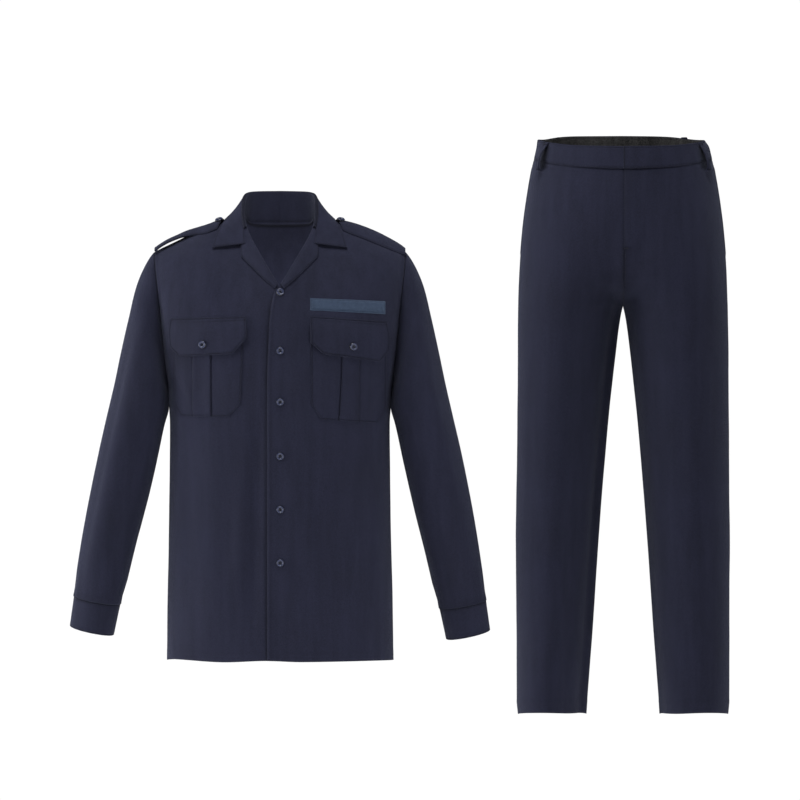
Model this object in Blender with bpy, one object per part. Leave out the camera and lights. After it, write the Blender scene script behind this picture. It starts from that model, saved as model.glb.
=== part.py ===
"""Navy work uniform: long-sleeved shirt and trousers, hung open and filled out.

Run with: blender --background --python part.py
Tables are in millimetres; objects are made in metres, +Z up, front towards -Y.
The frame's origin is the middle of the shirt's neck opening, at the height of its back collar seam.
Left and right are the wearer's: left is +X.
"""
import math

import bpy
import numpy as np

MM = 0.001
SEAM = 0.4            # gap between two pieces that are sewn together
CLOTH = 1.3           # single cloth
DOUBLE = 1.8          # collar, cuffs, straps
BAND = 2.0            # waistband
RING_POWER = 2.4      # squareness of the shirt's body rings
LEG_POWER = 2.15      # squareness of the trouser rings
ARM_STEPS = 10        # rows of the body above the underarm
UNDERARM_Z = -290.0
YOKE_Z = -200.0       # above this the body slopes in to the shoulder
ARM_DEPTH = 50.0      # how far the armhole stands from the side, front and back
SHOULDER_X = 219.5
NECK_X = 64.0
LAP_LIFT = 3.1        # how far the upper front stands off the under front
TROUSER_X = 600.25    # centre line of the trousers

NAVY = (0.030, 0.033, 0.062)
NAVY_INSIDE = (0.020, 0.021, 0.034)
LINING = (0.012, 0.012, 0.014)
TAPE_BLUE = (0.050, 0.080, 0.140)
BUTTON_NAVY = (0.035, 0.042, 0.085)

# shirt body rings: z, half width, depth to the front, depth to the back
BODY = np.array([
    (-764.0, 197.4, 112.0, 107.0),
    (-660.0, 196.2, 113.0, 105.0),
    (-555.0, 193.8, 114.0, 101.0),
    (-450.0, 192.3, 116.0, 98.0),
    (-351.0, 191.6, 120.0, 100.0),
    (-320.0, 192.8, 121.0, 102.0),
    (-290.0, 195.5, 122.0, 104.0),
    (-257.0, 199.5, 121.5, 106.0),
    (-222.0, 203.0, 120.5, 108.0),
    (-190.0, 206.0, 120.0, 108.0),
    (-157.0, 209.0, 120.0, 108.0),
    (-130.0, 212.0, 120.0, 108.0),
    (-108.0, 214.8, 120.0, 108.0),
    (-80.0, 218.0, 120.0, 108.0),
    (-51.0, 219.5, 120.0, 108.0),
    (60.0, 219.5, 120.0, 108.0)])

# shoulder line: x, z
CREST = np.array([
    (0.0, 46.0), (40.0, 27.0), (64.0, 13.0), (94.0, 3.5), (126.0, -6.5), (150.0, -17.0),
    (175.0, -29.6), (189.0, -36.4), (206.0, -44.4), (219.5, -51.0)])

# front neckline and roll of the lapel: x, z
NECK_FRONT = np.array([
    (-21.0, -119.0), (-5.0, -116.0), (0.0, -113.0), (13.0, -94.0), (28.0, -68.0), (41.0, -45.5),
    (54.5, -20.0), (57.5, -9.0), (62.0, 3.0), (64.0, 13.0)])

# back neckline: x, z
NECK_BACK = np.array([(0.0, -1.5), (24.0, -1.0), (42.0, 0.5), (54.0, 4.0), (64.0, 13.0)])

# front edge of the upper front: z, x
LAP_EDGE = np.array([
    (-764.0, -21.0), (-310.0, -21.0), (-243.0, -20.0), (-207.0, -18.4), (-162.0, -15.8),
    (-132.0, -11.0), (-114.0, -5.0)])
UNDER_EDGE = -19.0    # the under front's edge past the centre line

# front and back columns: x at the shoulder line
FRONT_COLUMNS = (0.0, 13.0, 28.0, 41.0, 54.5, 57.5, 64.0, 94.0, 126.0, 158.0, 190.0, 219.5)
BACK_COLUMNS = (0.0, 24.0, 42.0, 54.0, 64.0, 94.0, 126.0, 158.0, 190.0, 219.5)
LOW_ROWS = (-764.0, -650.0, -530.0, -415.0, -330.0)

# sleeve rings: outer x, outer z, inner x, inner z, half depth, centre y, tilt
SLEEVE = np.array([
    (228.0, -62.0, 196.4, -293.0, 53.0, 0.0, 0.0),
    (239.0, -82.0, 196.0, -296.5, 58.0, 0.0, 0.0),
    (251.5, -114.0, 195.5, -301.0, 64.0, 0.0, 0.0),
    (263.0, -162.0, 195.0, -307.0, 69.0, -0.5, 0.0),
    (276.0, -220.0, 194.7, -314.5, 72.0, -1.0, 1.0),
    (289.0, -281.0, 195.4, -325.0, 73.0, -2.0, 1.5),
    (301.0, -332.0, 202.6, -352.0, 72.0, -3.0, 2.0),
    (316.5, -400.0, 216.0, -416.0, 67.0, -5.0, 2.5),
    (332.5, -480.0, 236.2, -503.0, 59.0, -7.5, 3.0),
    (345.5, -551.0, 254.0, -572.0, 52.0, -9.5, 3.5),
    (354.5, -610.0, 267.6, -629.0, 46.0, -11.5, 4.0),
    (359.4, -654.6, 277.0, -668.6, 42.0, -13.0, 4.0)])

# cuff rings, the same columns
CUFF = np.array([
    (359.9, -656.0, 279.4, -670.2, 40.6, -13.0, 4.5),
    (363.8, -682.0, 285.2, -697.4, 39.4, -13.6, 4.5),
    (367.2, -707.6, 290.8, -723.4, 38.6, -14.2, 4.5)])

# collar from the centre back to the front point: neckline x (past the
# shoulder it comes back along the front), roll x, y, z and outer edge x, y, z
COLLAR = np.array([
    (0.0, 0.0, 61.5, 57.8, 0.0, 78.0, -12.0),
    (22.0, 23.0, 58.5, 57.5, 34.0, 75.0, -11.0),
    (40.0, 43.0, 47.0, 56.4, 63.0, 62.5, -8.0),
    (53.0, 56.0, 28.0, 52.8, 84.0, 39.0, 2.0),
    (64.0, 61.0, 6.0, 40.0, 94.0, 9.0, 8.4),
    (65.4, 61.0, -12.0, 22.0, 101.5, -17.5, -2.0),
    (67.8, 60.0, -24.0, 8.5, 110.0, -39.5, -20.0),
    (70.6, 58.4, -37.0, -4.5, 117.6, -57.5, -43.0)])
NOTCH = (61.0, -36.0)

# lapel rows from the gorge down: roll x, z, middle x, z and outer edge x, z
LAPEL = np.array([
    (57.0, -11.5, 57.9, -38.5, 66.8, -59.0),
    (47.5, -33.0, 53.0, -51.0, 61.0, -66.5),
    (36.0, -54.0, 42.5, -66.0, 50.0, -77.5),
    (24.0, -75.0, 30.0, -83.0, 37.0, -90.5),
    (12.5, -94.5, 18.0, -99.3, 23.5, -103.5),
    (3.0, -109.0, 5.5, -112.8, 8.0, -116.0)])

# breast pockets on the front: z at the inner side, z at the outer side,
# inner edge x, pleat's inner and outer edge x, outer edge x
POCKET_RIGHT = np.array([
    (-198.0, -200.0, 61.5, 119.5, 148.8, 184.8),
    (-258.0, -259.0, 64.0, 119.5, 148.8, 184.8),
    (-316.8, -318.2, 66.7, 119.6, 148.6, 182.6),
    (-339.0, -337.5, 86.8, 119.6, 148.6, 170.6)])
POCKET_LEFT = np.array([
    (-203.0, -212.0, 54.1, 109.8, 138.2, 185.5),
    (-262.0, -269.0, 54.8, 108.4, 137.4, 185.2),
    (-317.6, -327.0, 55.8, 105.4, 136.0, 184.6),
    (-343.5, -349.8, 71.0, 104.3, 135.4, 169.2)])
# flaps: z at the inner side, z at the outer side, inner edge x, outer edge x
FLAP_RIGHT = np.array([
    (-164.6, -168.0, 58.6, 189.4),
    (-183.0, -190.0, 57.0, 190.4),
    (-201.4, -216.0, 56.0, 187.0),
    (-229.4, -233.8, 80.2, 172.2)])
FLAP_LEFT = np.array([
    (-164.0, -172.9, 54.1, 186.2),
    (-187.0, -198.0, 54.0, 189.4),
    (-210.5, -223.0, 54.1, 187.2),
    (-229.8, -242.4, 76.5, 171.2)])
TAPE = np.array([
    (-133.0, -138.2, 54.1, 183.6),
    (-153.4, -159.6, 54.1, 183.6)])

# shoulder straps: x, top z, drop of the edges, least half width
STRAP_LEFT = np.array([
    (95.0, 7.5, 14.0, 18.0), (106.0, 6.0, 17.0, 19.5), (128.0, 1.0, 21.5, 22.0), (163.0, -11.5, 22.5, 23.0),
    (196.0, -28.0, 19.5, 23.0), (213.0, -38.5, 15.5, 22.0), (219.2, -43.5, 11.5, 21.0)])
STRAP_RIGHT = np.array([
    (95.0, 8.5, 14.0, 18.0), (106.0, 6.0, 15.5, 19.5), (128.0, -2.0, 15.5, 22.0), (143.5, -6.7, 12.7, 23.0),
    (164.0, -13.0, 9.0, 23.0), (177.0, -18.9, 6.2, 23.0), (197.6, -28.4, 5.2, 23.0), (211.4, -37.0, 4.8, 22.0),
    (219.4, -42.8, 6.0, 21.0)])
STRAP_START = (110.0, 104.5, 98.5, 98.0, 100.0)   # x of the neck end, front edge to back edge
STRAP_END = 219.2
STRAP_CLEAR = 3.4
STRAP_BUTTON_X = 106.5

FRONT_BUTTON_X = 1.6
FRONT_BUTTON_Z = (-122.0, -224.0, -313.3, -407.8, -500.5, -593.3)
FLAP_BUTTONS = {"right": (131.3, -213.2), "left": (126.7, -217.0)}
# button, turned: radius, height from its back
BUTTON = ((5.75, 0.0), (5.75, 1.5), (5.0, 2.4), (3.9, 2.1), (3.3, 1.5))
BUTTON_SIDES = 16

# trousers: z, outer half width, inner gap, depth to the front, depth to the back
TROUSERS = np.array([
    (-857.0, 183.2, 64.6, 76.0, 74.0),
    (-835.0, 185.0, 63.1, 77.0, 75.0),
    (-730.0, 185.3, 55.0, 79.0, 76.0),
    (-625.0, 185.9, 48.0, 81.0, 78.0),
    (-555.0, 186.6, 43.3, 83.0, 80.0),
    (-485.0, 185.7, 38.0, 85.0, 82.0),
    (-415.0, 184.8, 32.0, 88.0, 86.0),
    (-345.0, 184.2, 25.9, 92.0, 90.0),
    (-275.0, 183.5, 18.6, 96.0, 96.0),
    (-222.0, 183.4, 12.6, 99.0, 101.0),
    (-187.0, 183.1, 8.3, 101.5, 107.0),
    (-160.0, 182.7, 4.0, 104.0, 112.0),
    (-143.0, 182.4, 0.0, 106.2, 115.3),
    (-120.0, 181.8, -5.0, 109.0, 119.0),
    (-82.0, 180.3, -5.0, 113.0, 124.0),
    (-47.0, 177.9, -5.0, 115.5, 126.0),
    (-12.0, 174.9, -5.0, 117.0, 126.0),
    (23.0, 170.7, -5.0, 117.5, 125.0),
    (58.0, 165.6, -5.0, 116.5, 123.5),
    (86.0, 160.6, -5.0, 115.0, 121.0),
    (114.0, 155.0, -5.0, 112.5, 118.5),
    (135.0, 150.6, -5.0, 110.5, 117.0),
    (160.0, 148.0, -5.0, 109.0, 116.0)])
CROTCH_Z = -143.0
# above the crotch: z, how far the two legs are still apart, softness of the valley between
RISE = np.array([
    (-143.0, 1.00, 0.0), (-136.0, 0.985, 2.0), (-128.0, 0.95, 6.0), (-118.0, 0.89, 12.0), (-105.0, 0.81, 20.0),
    (-85.0, 0.69, 29.0), (-60.0, 0.55, 36.0), (-25.0, 0.38, 40.0), (15.0, 0.21, 40.0), (55.0, 0.08, 40.0),
    (92.0, 0.0, 40.0), (170.0, 0.0, 40.0)])
TROUSER_ROWS = (-857.0, -730.0, -600.0, -470.0, -345.0, -265.0, -205.0, -168.0, -143.0, -134.0, -120.0,
                -98.0, -68.0, -25.0, 20.0, 63.0)
TROUSER_COLUMNS = 6
# angle from the front round to the back: waist seam z, waistband top z
WAIST = np.array([
    (0.0, 93.3, 131.8), (30.0, 96.6, 133.4), (57.0, 103.8, 139.0), (75.0, 108.6, 143.2), (90.0, 110.5, 145.6),
    (122.0, 113.0, 150.6), (150.0, 115.4, 153.6), (180.0, 116.4, 154.4)])
LOOP_ANGLES = (62.0, 135.0, 180.0, -135.0, -62.0)
LOOP_WIDTH = 10.5
# belt loop down its length: share of the way, stand-off from the waistband
LOOP = np.array([(0.0, 0.7), (0.12, 4.2), (0.32, 7.0), (0.68, 7.0), (0.88, 4.2), (1.0, 0.7)])


def clear_scene():
    for item in list(bpy.data.objects):
        bpy.data.objects.remove(item, do_unlink=True)


def smooth(x, xs, ys):
    """Monotone cubic through the points of a table."""
    x = np.asarray(x, dtype=float)
    xs = np.asarray(xs, dtype=float)
    ys = np.asarray(ys, dtype=float)
    step = np.diff(xs)
    slope = np.diff(ys) / step
    m = np.zeros_like(ys)
    m[0], m[-1] = slope[0], slope[-1]
    for i in range(1, len(xs) - 1):
        if slope[i - 1] * slope[i] > 0.0:
            w1 = 2.0 * step[i] + step[i - 1]
            w2 = step[i] + 2.0 * step[i - 1]
            m[i] = (w1 + w2) / (w1 / slope[i - 1] + w2 / slope[i])
    k = np.clip(np.searchsorted(xs, x) - 1, 0, len(xs) - 2)
    t = np.clip((x - xs[k]) / step[k], 0.0, 1.0)
    h00 = (1.0 + 2.0 * t) * (1.0 - t) ** 2
    h10 = t * (1.0 - t) ** 2
    h01 = t * t * (3.0 - 2.0 * t)
    h11 = t * t * (t - 1.0)
    return h00 * ys[k] + h10 * step[k] * m[k] + h01 * ys[k + 1] + h11 * step[k] * m[k + 1]


def ease(t):
    t = np.clip(t, 0.0, 1.0)
    return t * t * (3.0 - 2.0 * t)


def rows_at(table, t):
    """Rows of a table between its own rows, by the share t of its length."""
    keys = np.linspace(0.0, 1.0, len(table))
    return np.stack([smooth(t, keys, table[:, c]) for c in range(table.shape[1])], axis=-1)


def colour(name, rgb, roughness):
    mat = bpy.data.materials.new(name)
    mat.use_nodes = True
    shader = mat.node_tree.nodes["Principled BSDF"]
    shader.inputs["Base Color"].default_value = (rgb[0], rgb[1], rgb[2], 1.0)
    shader.inputs["Roughness"].default_value = roughness
    shader.inputs["Metallic"].default_value = 0.0
    return mat


def add_object(name, verts, faces, rgb, roughness=0.85, parent=None, flat_faces=()):
    verts = np.asarray(verts, dtype=float) * MM
    centre = np.round((verts.max(axis=0) + verts.min(axis=0)) / 2.0, 4)
    mesh = bpy.data.meshes.new(name)
    mesh.from_pydata([tuple(v) for v in verts - centre], [], [tuple(int(i) for i in f) for f in faces])
    volume = 0.0
    mesh.calc_loop_triangles()
    for tri in mesh.loop_triangles:
        a, b, c = (mesh.vertices[i].co for i in tri.vertices)
        volume += a.dot(b.cross(c))
    if volume < 0.0:
        mesh.flip_normals()
    keep_flat = set(flat_faces)
    rim = set()
    for poly in mesh.polygons:
        poly.use_smooth = poly.index not in keep_flat
        if not poly.use_smooth:
            rim.update(poly.edge_keys)
    for edge in mesh.edges:
        edge.use_edge_sharp = edge.key in rim
    mesh.materials.append(colour(name + "_cloth" if roughness > 0.5 else name + "_resin", rgb, roughness))
    mesh.update()
    item = bpy.data.objects.new(name, mesh)
    item.location = tuple(centre)
    bpy.context.scene.collection.objects.link(item)
    if parent is not None:
        item.parent = parent
        item.matrix_parent_inverse = parent.matrix_world.inverted()
    return item


def unit(v):
    return v / np.maximum(np.linalg.norm(v, axis=-1, keepdims=True), 1e-12)


def tangents(points):
    """Directions along the first axis: the bisector of the steps before and after."""
    step = unit(np.diff(points, axis=0))
    return unit(np.concatenate([step[:1], step[1:] + step[:-1], step[-1:]]))


def grid_normals(points, closed=False):
    """Unit normals of a grid of points, from its own rows and columns."""
    across = np.swapaxes(points, 0, 1)
    if closed:
        wide = np.concatenate([across[-1:], across, across[:1]])
        dv = np.swapaxes(tangents(wide)[1:-1], 0, 1)
    else:
        dv = np.swapaxes(tangents(across), 0, 1)
    return unit(np.cross(tangents(points), dv))


def shell(name, outer, thickness, rgb, normals=None, closed=False, outward=None, parent=None):
    """A closed wall: the grid 'outer' and the same grid moved in by the thickness."""
    outer = np.asarray(outer, dtype=float)
    if normals is None:
        normals = grid_normals(outer, closed)
    if outward is not None:
        middle = (outer.shape[0] // 2, outer.shape[1] // 2)
        if np.dot(normals[middle], outward) < 0.0:
            normals = -normals
    inner = outer - normals * thickness
    rows, cols = outer.shape[:2]
    verts = np.concatenate([outer.reshape(-1, 3), inner.reshape(-1, 3)])
    half = rows * cols
    faces = []
    last = cols if closed else cols - 1
    for r in range(rows - 1):
        for c in range(last):
            d = (c + 1) % cols
            a, b, e, f = r * cols + c, r * cols + d, (r + 1) * cols + d, (r + 1) * cols + c
            if np.linalg.norm(verts[a] - verts[e]) < np.linalg.norm(verts[b] - verts[f]):
                split = ((a, b, e), (a, e, f))
            else:
                split = ((a, b, f), (b, e, f))
            for i, j, k in split:
                faces.append((i, j, k))
                faces.append((half + k, half + j, half + i))
    flat = []
    for c in range(last):
        d = (c + 1) % cols
        flat += [len(faces), len(faces) + 1]
        faces.append((d, c, half + c, half + d))
        top = (rows - 1) * cols
        faces.append((top + c, top + d, half + top + d, half + top + c))
    if not closed:
        for r in range(rows - 1):
            a, b = r * cols, (r + 1) * cols
            flat += [len(faces), len(faces) + 1]
            faces.append((a, b, half + b, half + a))
            a, b = a + cols - 1, b + cols - 1
            faces.append((b, a, half + a, half + b))
    return add_object(name, verts, faces, rgb, 0.85, parent, flat)


# ---------------------------------------------------------------- shirt body

def ring_shape(front, z):
    """Width, depth and armhole share of the body's ring at height z."""
    width = smooth(z, BODY[:, 0], BODY[:, 1])
    depth = smooth(z, BODY[:, 0], BODY[:, 2 if front else 3])
    reach = np.clip((YOKE_Z - z) / (YOKE_Z - UNDERARM_Z), 0.0, 1.0)
    arm = ARM_DEPTH * np.sqrt(np.maximum(0.0, 1.0 - reach * reach))
    share = (1.0 - (arm / depth) ** RING_POWER) ** (1.0 / RING_POWER)
    return width, depth, share


def slope_in(front, x, z, depth_y):
    """The body's depth, drawn in towards the shoulder line above the yoke height."""
    top = smooth(np.minimum(np.abs(x), SHOULDER_X), CREST[:, 0], CREST[:, 1])
    t = np.clip((z - YOKE_Z) / (top - YOKE_Z), 0.0, 1.0)
    w = ease((np.abs(x) - 60.0) / (SHOULDER_X - 60.0))
    if front:
        p, q = 1.5 + 0.5 * w, 1.3 + 0.7 * w
    else:
        p, q = 2.2 - 0.2 * w, 1.5 + 0.5 * w
    return depth_y * (1.0 - t ** p) ** (1.0 / q)


def body_x(front, x_top, z):
    """x at height z of the column that meets the shoulder line at x_top."""
    width, depth, share = ring_shape(front, z)
    _, _, yoke_share = ring_shape(front, YOKE_Z)
    angle_top = math.asin(yoke_share ** (RING_POWER / 2.0))
    s = np.clip(x_top / SHOULDER_X, 0.0, 1.0)
    r = np.arcsin(np.clip((s * yoke_share) ** (RING_POWER / 2.0), 0.0, 1.0)) / angle_top
    angle = np.arcsin(np.clip(share ** (RING_POWER / 2.0), 0.0, 1.0))
    return width / share * np.sin(r * angle) ** (2.0 / RING_POWER)


def body_y(front, x, z):
    """Depth of the body's surface at x, z, positive towards its own side."""
    width, depth, share = ring_shape(front, z)
    a = width / share
    y = depth * np.maximum(0.0, 1.0 - (np.abs(x) / a) ** RING_POWER) ** (1.0 / RING_POWER)
    return slope_in(front, x, z, y)


def lap_lift(x):
    return LAP_LIFT * (1.0 - ease((x - 22.0) / 45.0))


def top_limit(front, x):
    """Height of the neckline and shoulder line at x."""
    table = NECK_FRONT if front else NECK_BACK
    neck = smooth(np.clip(x, table[0, 0], NECK_X), table[:, 0], table[:, 1])
    crest = smooth(np.clip(x, NECK_X, SHOULDER_X), CREST[:, 0], CREST[:, 1])
    return np.where(x < NECK_X, neck, crest)


def body_rows(low_rows, steps):
    low = np.asarray(low_rows)
    rise = (1.0 - np.cos(np.pi * np.arange(steps + 1) / steps)) / 2.0
    return low, rise


def front_panel(columns, low_rows, steps, upper):
    """Grid of the front, on the +X side: rows from the hem up, columns from the edge out."""
    low, rise = body_rows(low_rows, steps)
    grid = np.zeros((len(low) + steps + 1, len(columns), 3))
    for c, x_top in enumerate(columns):
        def column_x(z):
            x = body_x(True, x_top, z)
            edge = smooth(z, LAP_EDGE[:, 0], LAP_EDGE[:, 1]) if upper else UNDER_EDGE
            return x + edge * np.maximum(0.0, 1.0 - x / 60.0)
        limit = top_limit(True, x_top)
        for _ in range(12):
            limit = top_limit(True, float(column_x(limit)))
        z = np.concatenate([low, UNDERARM_Z + rise * (limit - UNDERARM_Z)])
        x = column_x(z)
        y = -body_y(True, x, z)
        if upper:
            y = y - lap_lift(x)
        grid[:, c] = np.stack([x, y, z], axis=-1)
    grid[:, :, 1] = np.minimum(grid[:, :, 1], -SEAM / 2.0)
    return grid


def back_panel(columns, low_rows, steps):
    """Grid of the back, both sides: rows from the hem up, columns from -X to +X."""
    low, rise = body_rows(low_rows, steps)
    half = np.zeros((len(low) + steps + 1, len(columns), 3))
    for c, x_top in enumerate(columns):
        limit = top_limit(False, x_top)
        for _ in range(12):
            limit = top_limit(False, float(body_x(False, x_top, limit)))
        z = np.concatenate([low, UNDERARM_Z + rise * (limit - UNDERARM_Z)])
        x = body_x(False, x_top, z)
        y = body_y(False, x, z)
        half[:, c] = np.stack([x, y, z], axis=-1)
    half[:, :, 1] = np.maximum(half[:, :, 1], SEAM / 2.0)
    mirror = half[:, :0:-1] * np.array([-1.0, 1.0, 1.0])
    return np.concatenate([mirror, half], axis=1)


def seam_normals(normals, low_count, neck_columns, sides):
    """Normals at side seams and shoulder lines lie in the plane of the seam."""
    n = normals.copy()
    for c in sides:
        n[:low_count + 1, c, 1] = 0.0
    n[-1, neck_columns:, 1] = 0.0
    if len(sides) == 2:
        n[-1, :normals.shape[1] - neck_columns, 1] = 0.0
    return n / np.linalg.norm(n, axis=-1, keepdims=True)


def on_front(x, z, lift, upper):
    """A point of the front's surface moved out by the lift, on the +X side."""
    x = np.asarray(x, dtype=float)
    z = np.asarray(z, dtype=float)
    h = 1.0

    def depth(px, pz):
        y = -body_y(True, px, pz)
        return y - lap_lift(px) if upper else y
    y = depth(x, z)
    gx = (depth(x + h, z) - depth(x - h, z)) / (2.0 * h)
    gz = (depth(x, z + h) - depth(x, z - h)) / (2.0 * h)
    n = np.stack([gx, -np.ones_like(y), gz], axis=-1)
    n /= np.linalg.norm(n, axis=-1, keepdims=True)
    return np.stack([x, y, z], axis=-1) + n * np.asarray(lift)[..., None], n


MIRROR = np.array([-1.0, 1.0, 1.0])


def build_shirt(parent):
    rows_low = len(LOW_ROWS)
    neck = FRONT_COLUMNS.index(NECK_X)
    edge_grids = {}
    for side, flip in (("left", 1.0), ("right", -1.0)):
        upper = side == "left"
        grid = front_panel(FRONT_COLUMNS, LOW_ROWS, ARM_STEPS, upper)
        normals = grid_normals(grid)
        if normals[3, 2, 1] > 0.0:
            normals = -normals
        normals = seam_normals(normals, rows_low, neck, (len(FRONT_COLUMNS) - 1,))
        edge_grids[side] = (grid[rows_low:, -1], normals[rows_low:, -1])
        f = np.array([flip, 1.0, 1.0])
        shell("shirt_front_" + side, grid * f, CLOTH, NAVY, normals * f, parent=parent)

    back = back_panel(BACK_COLUMNS, LOW_ROWS, ARM_STEPS)
    normals = grid_normals(back)
    if normals[3, 8, 1] < 0.0:
        normals = -normals
    count = back.shape[1]
    neck_at = len(BACK_COLUMNS) - 1 + BACK_COLUMNS.index(NECK_X)
    normals = seam_normals(normals, rows_low, neck_at, (0, count - 1))
    shell("shirt_back", back, CLOTH, NAVY, normals, parent=parent)
    back_edge = (back[rows_low:, -1], normals[rows_low:, -1])

    for side, flip in (("left", 1.0), ("right", -1.0)):
        build_sleeve(side, flip, edge_grids[side], back_edge, parent)
        build_front_trim(side, flip, parent)
        build_strap(side, flip, parent)
    build_collar(parent)
    for k, z in enumerate(FRONT_BUTTON_Z):
        place_button("front_button_%d" % (k + 1), FRONT_BUTTON_X, z, 0.5, True, 1.0, parent)


def sleeve_ring(row, angles):
    ox, oz, ix, iz, depth, y0, tilt = row
    c, s = np.cos(angles), np.sin(angles)
    x = (ox + ix) / 2.0 + (ox - ix) / 2.0 * c
    z = (oz + iz) / 2.0 + (oz - iz) / 2.0 * c - tilt * s
    y = y0 - depth * np.sign(s) * np.abs(s) ** 0.94
    return np.stack([x, y, z], axis=-1)


def build_sleeve(side, flip, front_edge, back_edge, parent):
    steps = ARM_STEPS
    angles = np.pi * np.arange(2 * steps) / steps
    # the armhole runs from the shoulder down the front to the underarm and up the back
    hole = np.concatenate([front_edge[0][::-1], back_edge[0][1:-1]])
    hole_n = np.concatenate([front_edge[1][::-1], back_edge[1][1:-1]])
    first = sleeve_ring(SLEEVE[0], angles)
    out = first - hole
    out /= np.linalg.norm(out, axis=-1, keepdims=True)
    start = hole + out * 0.35 + np.array([0.35, 0.0, 0.0])
    start[:, 1] += 0.0
    grid = np.stack([start] + [sleeve_ring(row, angles) for row in SLEEVE])
    normals = grid_normals(grid, closed=True)
    if normals[6, 0, 0] < 0.0:
        normals = -normals
    under = ease((np.abs(np.abs(angles - np.pi)) - 0.5) / 1.2)[:, None]
    normals[0] = normals[0] * (1.0 - under) + hole_n * under
    normals[0] /= np.linalg.norm(normals[0], axis=-1, keepdims=True)
    f = np.array([flip, 1.0, 1.0])
    shell("sleeve_" + side, grid * f, CLOTH, NAVY, normals * f, closed=True, parent=parent)

    cuff_angles = np.pi * np.arange(20) / 10.0
    cuff = np.stack([sleeve_ring(row, cuff_angles) for row in CUFF])
    normals = grid_normals(cuff, closed=True)
    if normals[1, 0, 0] < 0.0:
        normals = -normals
    shell("cuff_" + side, cuff * f, DOUBLE, NAVY, normals * f, closed=True, parent=parent)
    angle = math.radians(236.0)
    here = sleeve_ring(CUFF[1], np.array([angle]))[0]
    ahead = sleeve_ring(CUFF[1], np.array([angle + 0.02]))[0]
    up = sleeve_ring(CUFF[0], np.array([angle]))[0]
    n = np.cross(ahead - here, up - here)
    n /= np.linalg.norm(n)
    if n[1] < 0.0:
        n = -n
    turned_button("cuff_button_" + side, (here + n * 0.9) * f, n * f, parent)


def patch(table, rows, cols, upper, offset, slack=None):
    """Grid on the front from a table of z inner, z outer, x inner, x outer."""
    t = np.linspace(0.0, 1.0, rows) if isinstance(rows, int) else np.asarray(rows)
    keys = np.linspace(0.0, 1.0, len(table))
    zi, zo, xi, xo = (np.interp(t, keys, table[:, c]) for c in range(4))
    u = np.linspace(0.0, 1.0, cols)[None, :]
    x = xi[:, None] * (1.0 - u) + xo[:, None] * u
    z = zi[:, None] * (1.0 - u) + zo[:, None] * u
    lift = np.broadcast_to(np.asarray(offset(t))[:, None], x.shape) if callable(offset) else np.full(x.shape, offset)
    return on_front(x, z, lift, upper)


def build_front_trim(side, flip, parent):
    upper = side == "left"
    f = np.array([flip, 1.0, 1.0])
    # pocket with its box pleat: the pleat stands out from the pocket
    table = POCKET_LEFT if upper else POCKET_RIGHT
    t = np.array([0.0, 0.16, 0.3333, 0.5, 0.6667, 1.0])
    rows = np.stack([np.interp(t, np.linspace(0, 1, len(table)), table[:, c]) for c in range(6)], axis=-1)
    xs, zs, lifts = [], [], []
    for zi, zo, xi, p1, p2, xo in rows:
        line = [xi, xi * 0.5 + p1 * 0.5, p1 - 0.8, p1, p2, p2 + 0.8, p2 * 0.65 + xo * 0.35, p2 * 0.3 + xo * 0.7, xo]
        xs.append(line)
        zs.append([zi + (zo - zi) * (x - xi) / (xo - xi) for x in line])
        lifts.append([2.4, 2.7, 2.5, 4.1, 4.1, 2.6, 2.9, 2.9, 2.8])
    outer, n = on_front(np.array(xs), np.array(zs), np.array(lifts), upper)
    shell("pocket_" + side, outer * f, 1.2, NAVY, n * f, parent=parent)

    table = FLAP_LEFT if upper else FLAP_RIGHT
    outer, n = patch(table, (0.0, 0.17, 0.3333, 0.5, 0.6667, 1.0), 8, upper,
                     lambda t: np.interp(t, [0.0, 0.17, 0.34, 0.5, 1.0], [2.8, 3.8, 6.0, 6.8, 7.6]))
    shell("pocket_flap_" + side, outer * f, 1.5, NAVY, n * f, parent=parent)
    bx, bz = FLAP_BUTTONS[side]
    place_button("flap_button_" + side, bx, bz, 7.9, upper, flip, parent)
    if upper:
        outer, n = patch(TAPE, 2, 8, upper, 2.7)
        shell("name_tape", outer, 1.7, TAPE_BLUE, n, parent=parent)

    # lapel: the facing turned back over the front along the roll
    t = np.linspace(0.0, 1.0, 7)
    rows = rows_at(LAPEL, t)
    u = (0.0, 0.16, 0.5, 1.0)
    x = np.stack([np.array([np.interp(k, (0.0, 0.5, 1.0), row[0::2]) for k in u]) for row in rows])
    z = np.stack([np.array([np.interp(k, (0.0, 0.5, 1.0), row[1::2]) for k in u]) for row in rows])
    lift = np.array([2.2, 3.0, 3.3, 3.0])[None, :] + np.zeros_like(x)
    if not upper:
        # the under lapel tucks flat beneath the upper one at its foot
        lift = lift * (1.0 - 0.30 * ease((t - 0.6) / 0.4))[:, None]
        keep = x > 2.6
        x = np.where(keep, x, 2.6)
    else:
        x = np.where(x < 1.2, 1.2, x)
    outer, n = on_front(x, z, lift, upper)
    shell("lapel_" + side, outer * f, 1.2, NAVY, n * f, parent=parent)


def strap_surface(table, x, v):
    """Point of the shoulder strap, v from -1 at the front edge to 1 at the back edge."""
    top = smooth(x, table[:, 0], table[:, 1])
    drop = smooth(x, table[:, 0], table[:, 2])
    half = smooth(x, table[:, 0], table[:, 3])
    foot = top - drop - STRAP_CLEAR
    front = np.maximum(half, body_y(True, x, foot))
    rear = np.maximum(half, body_y(False, x, foot))
    y = np.where(v < 0.0, front, rear) * v
    return np.stack([x + 0.0 * v, y, top - drop * np.abs(v) ** 1.9], axis=-1)


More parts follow.
